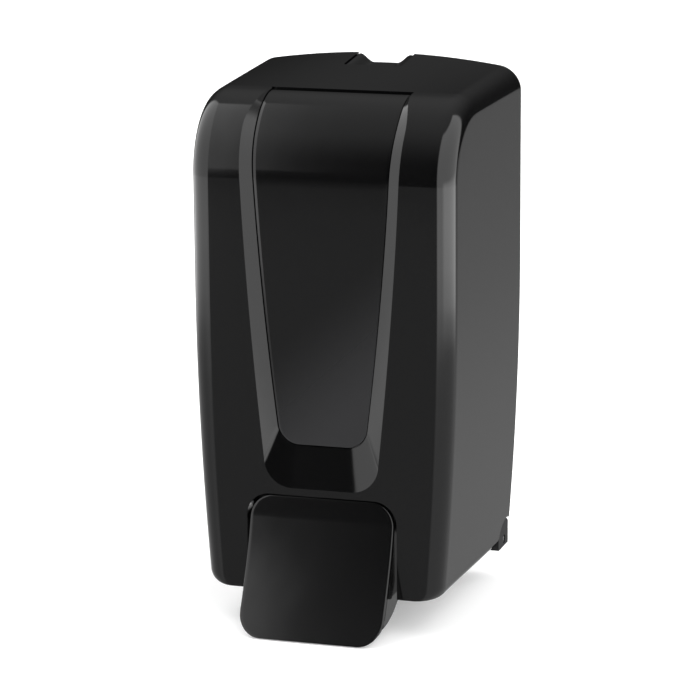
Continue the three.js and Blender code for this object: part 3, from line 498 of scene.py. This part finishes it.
def painted_sheen_plastic(name, colour, roughness, specular):
    """The cover's gloss with a painted sheen: the base colour is painted paler towards the panel's lower
    corner.
    """
    material = polished_plastic(name, colour, roughness, specular)
    finish = Finish(name, material)
    place = finish.place()
    across, up = (finish.node("ShaderNodeSeparateXYZ", {}, {0: place}, axis) for axis in "XZ")
    # painted sheen: a mask rising towards the panel's lower corner, where the base colour is painted paler
    painted_sheen = (0.9 * across - up).step(PAINTED_SHEEN_FROM, PAINTED_SHEEN_FROM + 0.075)
    finish.set(Base_Color=finish.mix(painted_sheen, tint(colour, 1.0), tint(colour, PAINTED_SHEEN)))
    return material


def grained_plastic(name, colour, roughness, grain, depth):
    """A moulding with a fine spark-eroded grain."""
    finish = Finish(name)
    speckle = finish.noise(grain, 4.0, 0.6)
    broad = finish.noise(14.0)
    finish.set(
        Base_Color=finish.mix(broad, tint(colour, 0.85), tint(colour, 1.15)),
        Roughness=roughness + 0.12 * (speckle - 0.5),
        Normal=finish.bump(speckle, 0.3, depth),
    )
    finish.surface.inputs["Specular IOR Level"].default_value = 0.3
    return finish.material


def milky_plastic(name, colour, roughness, transmission):
    finish = Finish(name)
    flow = finish.noise(22.0, 3.0)
    finish.set(
        Base_Color=finish.mix(flow, tint(colour, 0.94), tint(colour, 1.05)),
        Roughness=roughness + 0.08 * (flow - 0.5),
        Normal=finish.bump(flow, 0.12, 0.0008),
    )
    finish.surface.inputs["Transmission Weight"].default_value = transmission
    finish.surface.inputs["IOR"].default_value = 1.49
    return finish.material


def drawn_steel(name, colour, roughness):
    """Bright steel with short drawing marks."""
    finish = Finish(name)
    stretched = finish.node(
        "ShaderNodeVectorMath", {"operation": "MULTIPLY"}, {0: finish.place(), 1: (60.0, 900.0, 900.0)})
    marks = finish.node("ShaderNodeTexNoise", {}, {"Vector": stretched, "Scale": 1.0, "Detail": 3.0})
    finish.set(
        Base_Color=finish.mix(marks, tint(colour, 0.88), tint(colour, 1.1)),
        Roughness=roughness + 0.15 * (marks - 0.5),
        Normal=finish.bump(marks, 0.1, 0.0002),
        Metallic=1.0,
    )
    return finish.material


def floor_paper(name, colour, glow):
    finish = Finish(name)
    mottle = finish.noise(0.7)
    shade = finish.mix(mottle, tint(colour, 0.99), tint(colour, 1.0))
    finish.set(Base_Color=shade, Roughness=0.9, Emission_Color=shade, Emission_Strength=glow)
    finish.surface.inputs["Specular IOR Level"].default_value = 0.0
    return finish.material


def made(name):
    """A finish by its name, made on first use."""
    found = bpy.data.materials.get(name)
    if found:
        return found
    colours = bpy.context.scene.dispenser_finishes
    makers = {
        "gloss black": lambda: polished_plastic(name, colours.cover, 0.07, colours.cover_specular),
        # the panel's finish carries a painted sheen towards its lower corner
        "panel black": lambda: painted_sheen_plastic(name, colours.panel, 0.07, colours.cover_specular),
        "lever black": lambda: polished_plastic(name, colours.cover, 0.1, colours.cover_specular),
        "grained black": lambda: grained_plastic(name, colours.base, 0.45, 1400.0, 0.0004),
        "milky tank": lambda: milky_plastic(name, colours.tank, 0.3, 0.45),
        "white plastic": lambda: grained_plastic(name, colours.pump, 0.4, 500.0, 0.0002),
        "black rubber": lambda: grained_plastic(name, colours.rubber, 0.8, 700.0, 0.0004),
        "silicone": lambda: milky_plastic(name, colours.silicone, 0.45, 0.2),
        "drawn steel": lambda: drawn_steel(name, colours.steel, 0.28),
    }
    return makers[name]()


# ------------------------------------------------------------------ settings


def length(name, text, default):
    return bpy.props.FloatProperty(
        name=name, description=text, default=default, unit="LENGTH", min=0.0, precision=4)


def colour(name, text, default):
    return bpy.props.FloatVectorProperty(
        name=name, description=text, default=default, subtype="COLOR", min=0.0, max=1.0, size=3)


class DispenserShape(bpy.types.PropertyGroup):
    recess_depth: length("Recess depth", "How deep the front recess is", 0.003)
    panel_gap: length("Panel seam", "Gap round the front panel", 0.0004)
    lever_round: length("Lever edges", "Rounding round the face of the push lever", 0.0006)
    lever_gap: length("Lever gap", "Gap between the push lever and its opening", 0.0016)


class DispenserFinishes(bpy.types.PropertyGroup):
    cover: colour("Cover", "Colour of the front cover and the push lever", (0.0021, 0.0021, 0.0022))
    panel: colour("Panel", "Colour of the front panel", (0.002, 0.002, 0.0021))
    base: colour("Base", "Colour of the back plate, bracket and collar", (0.004, 0.004, 0.0044))
    tank: colour("Reservoir", "Colour of the reservoir", (0.82, 0.85, 0.85))
    pump: colour("Pump", "Colour of the pump and the lid", (0.74, 0.75, 0.74))
    rubber: colour("Seals", "Colour of the rubber seals", (0.02, 0.02, 0.02))
    silicone: colour("Valve", "Colour of the outlet valve", (0.6, 0.62, 0.63))
    steel: colour("Steel", "Colour of pins, springs and screws", (0.56, 0.57, 0.58))
    cover_specular: bpy.props.FloatProperty(
        name="Cover reflection", description="Strength of the cover's reflections", default=0.375,
        subtype="FACTOR", min=0.0, max=1.0)


class DispenserStage(bpy.types.PropertyGroup):
    floor: colour("Floor", "Colour of the floor", (0.9, 0.9, 0.9))
    glow: bpy.props.FloatProperty(
        name="Floor glow", description="Light that the floor gives off by itself", default=0.3, min=0.0)
    light: bpy.props.FloatProperty(
        name="Light", description="Power of all lights together", default=1.0, min=0.0)


# ------------------------------------------------------------------ cover and panel

SIDE_SHARES = steps(0.0, 1.0, 12)[1:]
FILLET_SHARES = steps(0.0, 1.0, 18)[1:]


def cover_columns():
    """Columns from the middle of the front to the rear edge, as (kind, share)."""
    inside = [("panel", t) for t in steps(0.0, 1.0, 12)]
    bevel = [("bevel", t) for t in (0.3, 0.65, 1.0)]
    front = [("front", t) for t in (0.3, 0.6, 0.85, 0.95, 0.985, 1.0)]
    fillet = [("fillet", t) for t in FILLET_SHARES]
    return inside + bevel + front + fillet + [("side", t) for t in SIDE_SHARES]


def cover_rows():
    foot = [FOOT_RADIUS * (1 - math.cos(a)) for a in steps(0.0, math.pi / 2, 18)]
    low = steps(6.0, 46.0, 8)[1:]
    bevel = steps(46.0, 92.0, 20)[1:]
    high = steps(92.0, EDGE_START - 2, 20)[1:] + [EDGE_START - 0.8, EDGE_START - 0.2, EDGE_START]
    bend = steps(EDGE_START, ARC_END, 44)[1:]
    step = steps(ARC_END, PANEL_HIGH + 2, 12)[1:]
    return foot + low + bevel + high + bend + step + steps(PANEL_HIGH + 2, RIM, 16)[1:]


def column_x(kind, share, s, radius, half):
    if kind == "panel":
        return share * panel_half(s)
    if kind == "bevel":
        return panel_half(s) + share * (recess_half(s) - panel_half(s))
    edge = half - radius
    if kind == "front":
        return recess_half(s) + share * (edge - recess_half(s))
    return edge + radius * math.sin(share * math.pi / 2)


def cover_point(kind, share, side, s, inset, extra):
    """A point of the cover's skin. inset is the depth below the outer skin."""
    half = COVER_HALF - inset
    radius = CORNER_RADIUS - inset
    x = half if kind == "side" else column_x(kind, share, s, radius, half)
    depth = inset + round_off(x - (half - radius), radius)
    curl = 0.85 * round_off(FOOT_RADIUS - s, FOOT_RADIUS)
    rear = kind == "side"
    if s <= ARC_END:
        y, z = along(s, depth + extra(x, s))
    else:
        y0, z0 = along(ARC_END, depth)
        run = (s - ARC_END) / (RIM - ARC_END) * (COVER_REAR - y0)
        y, z = y0 + run, z0 + run * math.tan(TOP_SLOPE) - extra(x, s)
    wide = half_width(y, z) - inset - (curl if x > 55 else curl * max(0.0, x - 45) / 10)
    px = x * wide / half if x > 45 else x * (1 + (wide / half - 1) * smooth(30, 45, x))
    if z > EDGE_START:
        z -= CROWN * px * px * min(max((y - ARC_Y) / (COVER_REAR - ARC_Y), 0.0), 1.0)
    if rear:
        y0, z0 = y, z
        rim_z = cover_rim_height(inset)
        share_up = max(0.0, s - EDGE_START) / (RIM - EDGE_START)
        z1 = z0 if s <= EDGE_START else EDGE_START + share_up * (rim_z - EDGE_START)
        y = y0 + share * (COVER_REAR - y0)
        z = z0 + share * (z1 - z0)
        px = half_width(y, z) - inset - curl
    return side * px, y, z


def cover_rim_height(inset):
    """The height of the skin's upper rear corner at its side."""
    depth = CORNER_RADIUS
    y0, z0 = along(ARC_END, depth)
    z = z0 + (COVER_REAR - y0) * math.tan(TOP_SLOPE)
    return z - CROWN * (half_width(COVER_REAR, z) - inset) ** 2


def cover_skin(inset, extra):
    columns = cover_columns()
    grid = []
    for s in cover_rows():
        left = [cover_point(kind, share, -1, s, inset, extra) for kind, share in reversed(columns[1:])]
        right = [cover_point(kind, share, 1, s, inset, extra) for kind, share in columns]
        grid.append(left + right)
    return grid


def panel_rows(low, high):
    turn = [low + PANEL_CORNER * (1 - math.cos(t)) for t in steps(0, math.pi / 2, 12)]
    straight = steps(low + PANEL_CORNER, EDGE_START, 30)[1:]
    return turn + straight + steps(EDGE_START, high, 40)[1:]


def panel_slab(name, gap, upper, lower, edge_round):
    """A slab in the panel's outline, grown by a gap, between two depths below the cover's skin."""
    rows = panel_rows(PANEL_LOW - gap, PANEL_HIGH + gap)
    shares = [-1 + 2 * t for t in steps(0, 1, 30)]
    bent = [math.sin(t * math.pi / 2) for t in shares]
    outer, inner = [], []
    for s in rows:
        corner = PANEL_CORNER + gap
        cut = round_off(PANEL_LOW - gap + corner - s, corner)
        half = panel_half(s) + gap - cut
        top, bottom = [], []
        for t in bent:
            x = t * half
            edge = outside(x, s, panel_half(s) + gap, PANEL_LOW - gap, PANEL_HIGH + gap, corner)
            depth = upper(s) + (round_off(edge_round + edge, edge_round) if edge_round else 0.0)
            top.append((x, *along(s, depth)))
            bottom.append((x, *along(s, lower(s))))
        outer.append(top)
        inner.append(bottom)
    return skin_pair(name, outer, inner)


def recess_outline(t, top):
    """Half of the recess outline at share t of the bevel, 0 inside to 1 outside, from the top down."""
    low = PANEL_LOW + t * (RECESS_LOW - PANEL_LOW)
    corner = PANEL_CORNER + t * (RECESS_CORNER - PANEL_CORNER)

    def half(s):
        return panel_half(s) + t * (recess_half(s) - panel_half(s))
    points = []
    for s in steps(top, low + corner, 70):
        points.append((half(s), s))
    centre = half(low + corner) - corner
    for angle in steps(0, 90, 24)[1:]:
        a = math.radians(angle)
        points.append((centre + corner * math.cos(a), low + corner - corner * math.sin(a)))
    for share in (0.75, 0.5, 0.25, 0.0):
        points.append((centre * share, low))
    return points


def recess_tool(settings):
    """The space of the recess: its floor, the ruled bevel round it and a lid above the skin."""
    top = PANEL_HIGH + RECESS_END
    rise = 0.4
    lid_height = -4.0
    rings = []
    for t in steps(1.0 + rise, 0.0, 7):
        rings.append([(x, s, floor_depth(s, settings) * (1 - t)) for x, s in recess_outline(t, top)])
    lid = [(x, s, lid_height) for x, s in recess_outline(1.0 + rise, top)]
    spine_up = [(0.0, s, lid_height) for _, s, _ in lid]
    spine_down = [(0.0, s, floor_depth(s, settings)) for _, s, _ in rings[-1]]
    rows = [spine_up, lid, *rings, spine_down]
    points, faces = [], []
    for side in (1, -1):
        start = len(points)
        count = len(rows[0])
        points += [(side * x, *along(s, depth)) for row in rows for x, s, depth in row]
        faces += grid_faces(len(rows), count, start)
        faces.append(tuple(start + r * count for r in range(len(rows))))
    return new_piece("recess tool", points, faces)


def notch_tool():
    """The space for the release button, with two rounded corners at its front."""
    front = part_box("release_button")[0].y / MM - NOTCH_CLEAR
    beyond = 20.0

    def corner(side, first, last):
        middle = NOTCH_HALF - NOTCH_RADIUS
        return [(side * (middle + NOTCH_RADIUS * math.sin(a)), front + NOTCH_RADIUS * (1 - math.cos(a)))
                for a in steps(first, last, 6)]
    outline = [(NOTCH_HALF, beyond), (-NOTCH_HALF, beyond)]
    outline += corner(-1, math.pi / 2, 0) + corner(1, 0, math.pi / 2)
    return prism("notch tool", outline, 2, PLATE_TOP - 18, PLATE_TOP + 25)


class DISPENSER_OT_cover(bpy.types.Operator):
    """Front cover with its recess, openings, hinge knuckles and lever bearings"""
    bl_idname = "dispenser.cover"
    bl_label = "Front cover"

    def execute(self, context):
        shape = context.scene.dispenser_shape
        outer = cover_skin(0.0, lambda x, s: 0.0)
        inner = cover_skin(WALL, lambda x, s: backing_depth_at(x, s, shape))
        cover = skin_pair("front_cover_shell", outer, inner)
        gap = shape.panel_gap / MM
        pocket = panel_slab(
            "pocket tool", gap,
            lambda s: floor_depth(s, shape) - 0.6,
            lambda s: floor_depth(s, shape) + PANEL_THICKNESS + POCKET_ROOM, 0.0)
        opening_half = LEVER_HALF + shape.lever_gap / MM
        inner_edge = rounded_outline(opening_half, OPENING_LOW, OPENING_TOP, LEVER_CORNER)
        opening = prism("opening tool", inner_edge, 1, FRONT - 20, RETURN_REAR + 1)
        outer_edge = rounded_outline(
            opening_half + RETURN_WALL, OPENING_LOW, OPENING_TOP + RETURN_WALL, LEVER_CORNER + RETURN_WALL)
        collar = prism(
            "opening return", [(x, max(z, RETURN_FOOT)) for x, z in outer_edge], 1, FRONT + 1, RETURN_REAR)
        carve(cover, [collar], "UNION")
        hinge_tools = [
            prism("hinge tool", circle(HINGE_CUT, *HINGE, 96), 0, *sorted((side * 54.0, side * 90.0)))
            for side in (-1, 1)]
        carve(cover, [recess_tool(shape), pocket, opening, notch_tool(), *hinge_tools])
        pieces = [polish(cover, 6.6)]
        for side in (-1, 1):
            pieces += [polish(piece) for piece in cover_bearings(side)]
        settle(merge(pieces), "cover", made("gloss black"), ["front_cover"])
        return {"FINISHED"}


def cover_bearings(side):
    """The hinge knuckle, the lever's bearing and the latch rib on one side."""
    def span(a, b):
        return sorted((side * a, side * b))
    x0, x1 = span(50.9, 56.8)
    knuckle = prism("knuckle", circle(KNUCKLE_RADIUS, *HINGE), 0, x0, x1)
    arm = block("knuckle arm", (x0, -11.4, 2.0), (x1, -3.7, 28.0))
    w0, w1 = span(50.9, 61.2)
    web = block("knuckle web", (w0, -11.2, 18.0), (w1, -3.8, 27.8))
    l0, l1 = span(38.7, 42.2)
    bearing = prism("bearing", circle(LEVER_EYE, *LEVER_PIVOT), 0, l0, l1)
    stay = block("bearing stay", (l0, FRONT + 2.0, 34.0), (l1, LEVER_PIVOT[0], 46.0), 0.3)
    r0, r1 = span(15.6, 19.9)
    rib = block("latch rib", (r0, -23.0, 240.0), (r1, -20.0, 243.5), 0.3)
    return [knuckle, arm, web, bearing, stay, rib]


class DISPENSER_OT_panel(bpy.types.Operator):
    """Front panel that lies in the recess of the cover"""
    bl_idname = "dispenser.panel"
    bl_label = "Front panel"

    def execute(self, context):
        shape = context.scene.dispenser_shape
        panel = panel_slab(
            "front_panel_insert", 0.0,
            lambda s: floor_depth(s, shape),
            lambda s: floor_depth(s, shape) + PANEL_THICKNESS, 0.45)
        settle(polish(panel), "cover", made("panel black"), ["front_panel"])
        return {"FINISHED"}


# ------------------------------------------------------------------ push lever


def lever_face(x, z):
    flare = max(0.0, FLARE_START - z) ** FLARE_POWER
    bulge = LEVER_BULGE * (1 - (x / LEVER_HALF) ** 2) * smooth(0, FLARE_START, FLARE_START - z)
    return FRONT + LEVER_TOP_SETBACK - LEVER_LEAN * (LEVER_TOP - z) - FLARE * flare - bulge


def lever_outside(x, z):
    """Signed distance from the outline of the lever's face, positive outside it."""
    across = abs(x) - LEVER_HALF + LEVER_CORNER
    up = abs(z - (LEVER_TOP + LEVER_BOTTOM) / 2) - (LEVER_TOP - LEVER_BOTTOM) / 2 + LEVER_CORNER
    return min(max(across, up), 0.0) + math.hypot(max(across, 0), max(up, 0)) - LEVER_CORNER


def lever_face_piece(edge):
    turn = [LEVER_CORNER * (1 - math.cos(t)) for t in steps(0, math.pi / 2, 14)]
    low = [LEVER_BOTTOM + t for t in turn]
    high = [LEVER_TOP - t for t in reversed(turn)]
    rows = low + steps(low[-1], high[0], 34)[1:-1] + high
    shares = [math.sin(t * math.pi / 2) for t in steps(-1, 1, 40)]
    outer, inner = [], []
    for z in rows:
        to_edge = min(z - LEVER_BOTTOM, LEVER_TOP - z)
        half = LEVER_HALF - round_off(LEVER_CORNER - to_edge, LEVER_CORNER)
        face = [(t * half, z) for t in shares]
        outer.append([
            (x, lever_face(x, z) + round_off(edge + lever_outside(x, z), edge), z) for x, z in face])
        inner.append([(x, lever_face(x, z) + LEVER_WALL, z) for x, z in face])
    return skin_pair("push_lever_shell", outer, inner)


def lever_cheek(side):
    """The wall on one side of the lever, from its face to its pivot."""
    front = [(lever_face(LEVER_HALF, z) + 1.7, z) for z in steps(FLARE_START, -9.0, 24)]
    start, middle = Vector((-133.0, CHEEK_FOOT)), Vector((-118.0, CHEEK_FOOT))
    end = Vector((-106.0, -1.0))
    lower = []
    for t in steps(0, 1, 14):
        point = start * (1 - t) ** 2 + middle * 2 * t * (1 - t) + end * t * t
        lower.append((point.x, point.y))
    eye = []
    for angle in steps(-80, 140, 24):
        a = math.radians(angle)
        eye.append((LEVER_PIVOT[0] + LEVER_EYE * math.cos(a), LEVER_PIVOT[1] + LEVER_EYE * math.sin(a)))
    outline = front + lower + [(-102.0, 6.0)] + eye
    low, high = sorted((side * (LEVER_HALF - LEVER_WALL), side * LEVER_HALF))
    return prism("lever cheek", outline, 0, low, high)


def lever_rib(x):
    front = [(lever_face(x, z) + 1.5, z) for z in steps(14.5, -4.0, 12)]
    return prism("lever rib", front + [(-112.0, -4.0), (-106.0, 14.5)], 0, x - 0.8, x + 0.8)


class DISPENSER_OT_lever(bpy.types.Operator):
    """Push lever with its face, cheeks and inner web"""
    bl_idname = "dispenser.lever"
    bl_label = "Push lever"

    def execute(self, context):
        face = lever_face_piece(context.scene.dispenser_shape.lever_round / MM)
        cheeks = [lever_cheek(side) for side in (-1, 1)]
        web = block("lever web", (-34.0, -121.0, 14.0), (34.0, -98.0, 16.5), 0.3)
        ribs = [lever_rib(x) for x in (-17.0, 0.0, 17.0)]
        lever = polish(merge([face, *cheeks, web, *ribs]))
        settle(lever, "lever", made("lever black"), ["push_lever"])
        return {"FINISHED"}


# ------------------------------------------------------------------ release button


class DISPENSER_OT_button(bpy.types.Operator):
    """Scooped release button in the notch at the rear of the top"""
    bl_idname = "dispenser.button"
    bl_label = "Release button"

    def execute(self, context):
        low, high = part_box("release_button")
        front, rear = low.y / MM, high.y / MM
        bend_y, bend_z = along(ARC_END, 0)
        outer, inner = [], []
        for y in steps(front, rear, 24):
            crest = bend_z + (y - bend_y) * math.tan(TOP_SLOPE)
            row, base = [], []
            for x in steps(-BUTTON_HALF, BUTTON_HALF, 56):
                side = smooth(6.0, 13.2, abs(x))
                z = crest - BUTTON_SCOOP + (BUTTON_SCOOP - 0.3) * side - CROWN * x * x
                lip = min(y - front, rear - y, BUTTON_HALF - abs(x))
                row.append((x, y, z - round_off(BUTTON_ROUND - lip, BUTTON_ROUND)))
                base.append((x, y, BUTTON_UNDER))
            outer.append(row)
            inner.append(base)
        cap = skin_pair("release_button_cap", outer, inner)
        middle = (front + rear) / 2
        post = block("button post", (-7.5, middle - 7.5, 227.0), (7.5, middle + 7.5, 239.0), 0.8)
        hooks = []
        for side in (-1, 1):
            left, right = sorted((side * 13, side * 19.5))
            hooks.append(block("hook", (left, front, BUTTON_UNDER), (right, -23.6, BUTTON_UNDER + 0.9), 0.2))
        button = polish(merge([cap, post, *hooks]))
        settle(button, "latch", made("gloss black"), ["release_button"])
        return {"FINISHED"}


# ------------------------------------------------------------------ springs

PUMP_WIRE = 0.6
PUMP_TURNS = 8.5
LATCH_WIRE = 0.45
LATCH_TURNS = 6.5


def coil(name, node, wire, turns, closed=1.25, sides=10, per_turn=36):
    """A compression spring with closed ends, filling the box of its frame node."""
    low, high = (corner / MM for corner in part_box(node))
    middle = (low + high) / 2
    radius = (high.x - low.x) / 2 - wire
    height = high.z - low.z - 2 * wire
    tight = 2 * wire * closed * 1.04
    points = []
    count = round(turns * per_turn)
    for i in range(count + 1):
        turn = i / per_turn
        angle = 2 * math.pi * turn
        if turn < closed:
            rise = tight * turn / closed
        elif turn > turns - closed:
            rise = height - tight * (turns - turn) / closed
        else:
            rise = tight + (height - 2 * tight) * (turn - closed) / (turns - 2 * closed)
        out = Vector((math.cos(angle), math.sin(angle), 0.0))
        centre = Vector((middle.x, middle.y, low.z + wire - FOOT + rise)) + out * radius
        for k in range(sides):
            a = 2 * math.pi * k / sides
            points.append(tuple(centre + wire * (math.cos(a) * out + Vector((0, 0, math.sin(a))))))
    faces = [tuple(range(sides)), tuple(count * sides + k for k in range(sides))]
    for i in range(count):
        for k in range(sides):
            j = (k + 1) % sides
            faces.append((i * sides + k, i * sides + j, (i + 1) * sides + j, (i + 1) * sides + k))
    return polish(new_piece(name, points, faces))


class DISPENSER_OT_springs(bpy.types.Operator):
    """Pump spring and latch spring"""
    bl_idname = "dispenser.springs"
    bl_label = "Springs"

    def execute(self, context):
        pump = coil("pump_spring_coil", "pump_spring", PUMP_WIRE, PUMP_TURNS)
        settle(pump, "root", made("drawn steel"), ["pump_spring"])
        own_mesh(pump)
        latch = coil("latch_spring_coil", "latch_spring", LATCH_WIRE, LATCH_TURNS)
        settle(latch, "root", made("drawn steel"), ["latch_spring"])
        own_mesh(latch)
        return {"FINISHED"}


# ------------------------------------------------------------------ carried-over pieces

CARRIED = {
    "grained black": [
        "back_plate", "reservoir_bracket", "latch_guide", "pump_collar", "stem_guide", "nozzle_tip",
        "pump_yoke"],
    "milky tank": ["reservoir"],
    "white plastic": ["reservoir_lid", "pump_barrel", "pump_piston"],
    "black rubber": ["neck_gasket", "piston_ring"],
    "silicone": ["outlet_valve"],
    "drawn steel": [
        "yoke_screw_left", "yoke_screw_right", "lever_pin", "hinge_pin_left", "hinge_pin_right",
        "bracket_screw_left", "bracket_screw_right", "inlet_ball", "latch_screw_left",
        "latch_screw_right"],
}


class DISPENSER_OT_inside(bpy.types.Operator):
    """Finishes on the pieces that keep their frame shape"""
    bl_idname = "dispenser.inside"
    bl_label = "Inner pieces"

    def execute(self, context):
        for finish, names in CARRIED.items():
            for name in names:
                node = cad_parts[name]
                node.data.materials.clear()
                node.data.materials.append(made(finish))
                node.data.shade_smooth()
                node.data.set_sharp_from_angle(angle=math.radians(32))
        return {"FINISHED"}


# ------------------------------------------------------------------ stage

ROOM_LOW = 0.03
ROOM_HIGH = 0.6

# side, inner edge and its softness as a share of the sideways direction, rear azimuth,
# lower and upper elevation, rise of the inner lower corner, strength
SOFTBOXES = [
    (-1.0, 0.305, 0.05, 134.0, -14.0, 80.0, 15.0, 2.0),
    (1.0, 0.2, 0.1, 130.0, -14.5, 66.0, 0.0, 2.4),
    (1.0, 0.62, 0.2, 124.0, -14.0, -3.0, 0.0, 1.9),
]

# name, azimuth, elevation, distance, (width, height), watts, aim
LIGHTS = [
    ("overhead", 0.0, 88.0, 2.4, (2.2, 2.2), 12.0, (0.0, 0.0, -0.1)),
]

FLOOR_REACH = 14.0
FLOOR_DROP = 0.0006
CAMERA_LENS = 166.3
CAMERA_TURN = (17.49, 13.08, -0.42)      # yaw, pitch and roll in degrees
CAMERA_DISTANCE = 1.5882
CAMERA_TARGET = (-3.10, -57.5, 107.39)


class DISPENSER_OT_stage(bpy.types.Operator):
    """Pale floor, soft studio lights and the camera"""
    bl_idname = "dispenser.stage"
    bl_label = "Stage"

    def execute(self, context):
        stage = context.scene.dispenser_stage
        context.scene.view_settings.view_transform = "Standard"
        self.floor(stage)
        self.world(context, stage.light)
        for name, azimuth, elevation, distance, size, power, aim in LIGHTS:
            self.light(name, azimuth, elevation, distance, size, power * stage.light, aim)
        self.camera(context)
        return {"FINISHED"}

    def floor(self, stage):
        work = bmesh.new()
        bmesh.ops.create_grid(work, x_segments=8, y_segments=8, size=FLOOR_REACH)
        mesh = bpy.data.meshes.new("floor")
        work.to_mesh(mesh)
        work.free()
        floor = bpy.data.objects.new("floor", mesh)
        floor.location.z = CAD_BOX[0].z - FLOOR_DROP
        bpy.context.scene.collection.objects.link(floor)
        mesh.materials.append(floor_paper("floor paper", stage.floor, stage.glow))
        floor.visible_glossy = False

    def world(self, context, light):
        world = bpy.data.worlds.new("studio")
        world.use_nodes = True
        studio = Graph(world.node_tree)
        spot = studio.node("ShaderNodeTexCoord", {}, {}, "Generated")
        x, y, z = (studio.node("ShaderNodeSeparateXYZ", {}, {0: spot}, axis) for axis in "XYZ")
        azimuth = x.math("DEGREES", x.math("ARCTAN2", x, 0.0 - y))
        elevation = z.math("DEGREES", z.math("ARCSINE", z))
        ground = 1.0 - elevation.step(-10.6, -9.2)
        shade = (ROOM_LOW + (ROOM_HIGH - ROOM_LOW) * (elevation + 4.0 * y).step(10.0, 78.0)) * (1.0 - ground)
        for side, inner, soft, rear, low, high, lift, strength in SOFTBOXES:
            across = (side * x).step(inner, inner + soft) * (1.0 - (side * azimuth).step(rear - 6.0, rear))
            raised = lift * (1.0 - (side * x).step(inner + 0.025, inner + 0.058))
            upright = (elevation - raised).step(low, low + 3.0) * (1.0 - elevation.step(high - 6.0, high))
            shade = shade + across * upright * strength
        front = azimuth.step(-30.0, -20.0) * (1.0 - azimuth.step(8.0, 22.0))
        shade = shade + ground * (0.98 - 0.2 * (1.0 - azimuth.step(-60.0, -30.0)) - 0.51 * front)
        shell = azimuth.math("ABSOLUTE", azimuth).step(126.0, 140.0) * (1.0 - elevation.step(-6.0, -3.0))
        behind = (0.95 - 0.55 * azimuth.step(145.0, 175.0)) * (0.84 - 0.3 * elevation.step(-18.0, -7.0))
        shade = shade * (1.0 - shell) + shell * behind
        plain = studio.node("ShaderNodeLightPath", {}, {}, "Is Camera Ray")
        strength = light * shade * (1.0 - plain) + plain
        background = world.node_tree.nodes["Background"]
        studio.fill(background, {"Color": (1.0, 1.0, 1.0, 1.0), "Strength": strength})
        context.scene.world = world

    def light(self, name, azimuth, elevation, distance, size, power, aim):
        data = bpy.data.lights.new(name, "AREA")
        data.shape = "RECTANGLE"
        data.size, data.size_y = size
        data.energy = power
        lamp = bpy.data.objects.new(name, data)
        a, e = math.radians(azimuth), math.radians(elevation)
        back = Vector((math.sin(a) * math.cos(e), -math.cos(a) * math.cos(e), math.sin(e)))
        lamp.location = Vector(aim) + back * distance
        lamp.visible_glossy = False
        lamp.rotation_euler = back.to_track_quat("Z", "Y").to_euler()
        bpy.context.scene.collection.objects.link(lamp)

    def camera(self, context):
        data = bpy.data.cameras.new("camera")
        data.lens = CAMERA_LENS
        data.sensor_width = 36.0
        data.clip_end = 60.0
        camera = bpy.data.objects.new("camera", data)
        yaw, pitch, roll = (math.radians(turn) for turn in CAMERA_TURN)
        back = Vector((
            math.sin(yaw) * math.cos(pitch), -math.cos(yaw) * math.cos(pitch), math.sin(pitch)))
        right = (-back).cross(Vector((0, 0, 1))).normalized()
        up = right.cross(-back)
        across = right * math.cos(roll) + up * math.sin(roll)
        upright = up * math.cos(roll) - right * math.sin(roll)
        turn = Matrix((across, upright, back)).transposed().to_4x4()
        place = to_frame(CAMERA_TARGET) + back * CAMERA_DISTANCE
        camera.matrix_world = Matrix.Translation(place) @ turn
        context.scene.collection.objects.link(camera)
        context.scene.camera = camera


OPERATORS = [
    DISPENSER_OT_stage, DISPENSER_OT_cover, DISPENSER_OT_panel, DISPENSER_OT_lever,
    DISPENSER_OT_button, DISPENSER_OT_springs, DISPENSER_OT_inside,
]


class DISPENSER_PT_panel(bpy.types.Panel):
    """Settings and steps of the dispenser"""
    bl_idname = "DISPENSER_PT_panel"
    bl_label = "Soap dispenser"
    bl_space_type = "VIEW_3D"
    bl_region_type = "UI"
    bl_category = "Dispenser"

    def draw(self, context):
        for group in ("dispenser_shape", "dispenser_finishes", "dispenser_stage"):
            settings = getattr(context.scene, group)
            column = self.layout.column()
            for name in settings.__annotations__:
                column.prop(settings, name)
        for step in OPERATORS:
            self.layout.operator(step.bl_idname)


CLASSES = [DispenserShape, DispenserFinishes, DispenserStage, *OPERATORS, DISPENSER_PT_panel]


def register():
    for cls in CLASSES:
        bpy.utils.register_class(cls)
    scene = bpy.types.Scene
    scene.dispenser_shape = bpy.props.PointerProperty(type=DispenserShape)
    scene.dispenser_finishes = bpy.props.PointerProperty(type=DispenserFinishes)
    scene.dispenser_stage = bpy.props.PointerProperty(type=DispenserStage)


def unregister():
    scene = bpy.types.Scene
    del scene.dispenser_stage
    del scene.dispenser_finishes
    del scene.dispenser_shape
    for cls in reversed(CLASSES):
        bpy.utils.unregister_class(cls)


def main():
    register()
    for step in OPERATORS:
        area, name = step.bl_idname.split(".")
        getattr(getattr(bpy.ops, area), name)()


if __name__ == "__main__":
    main()
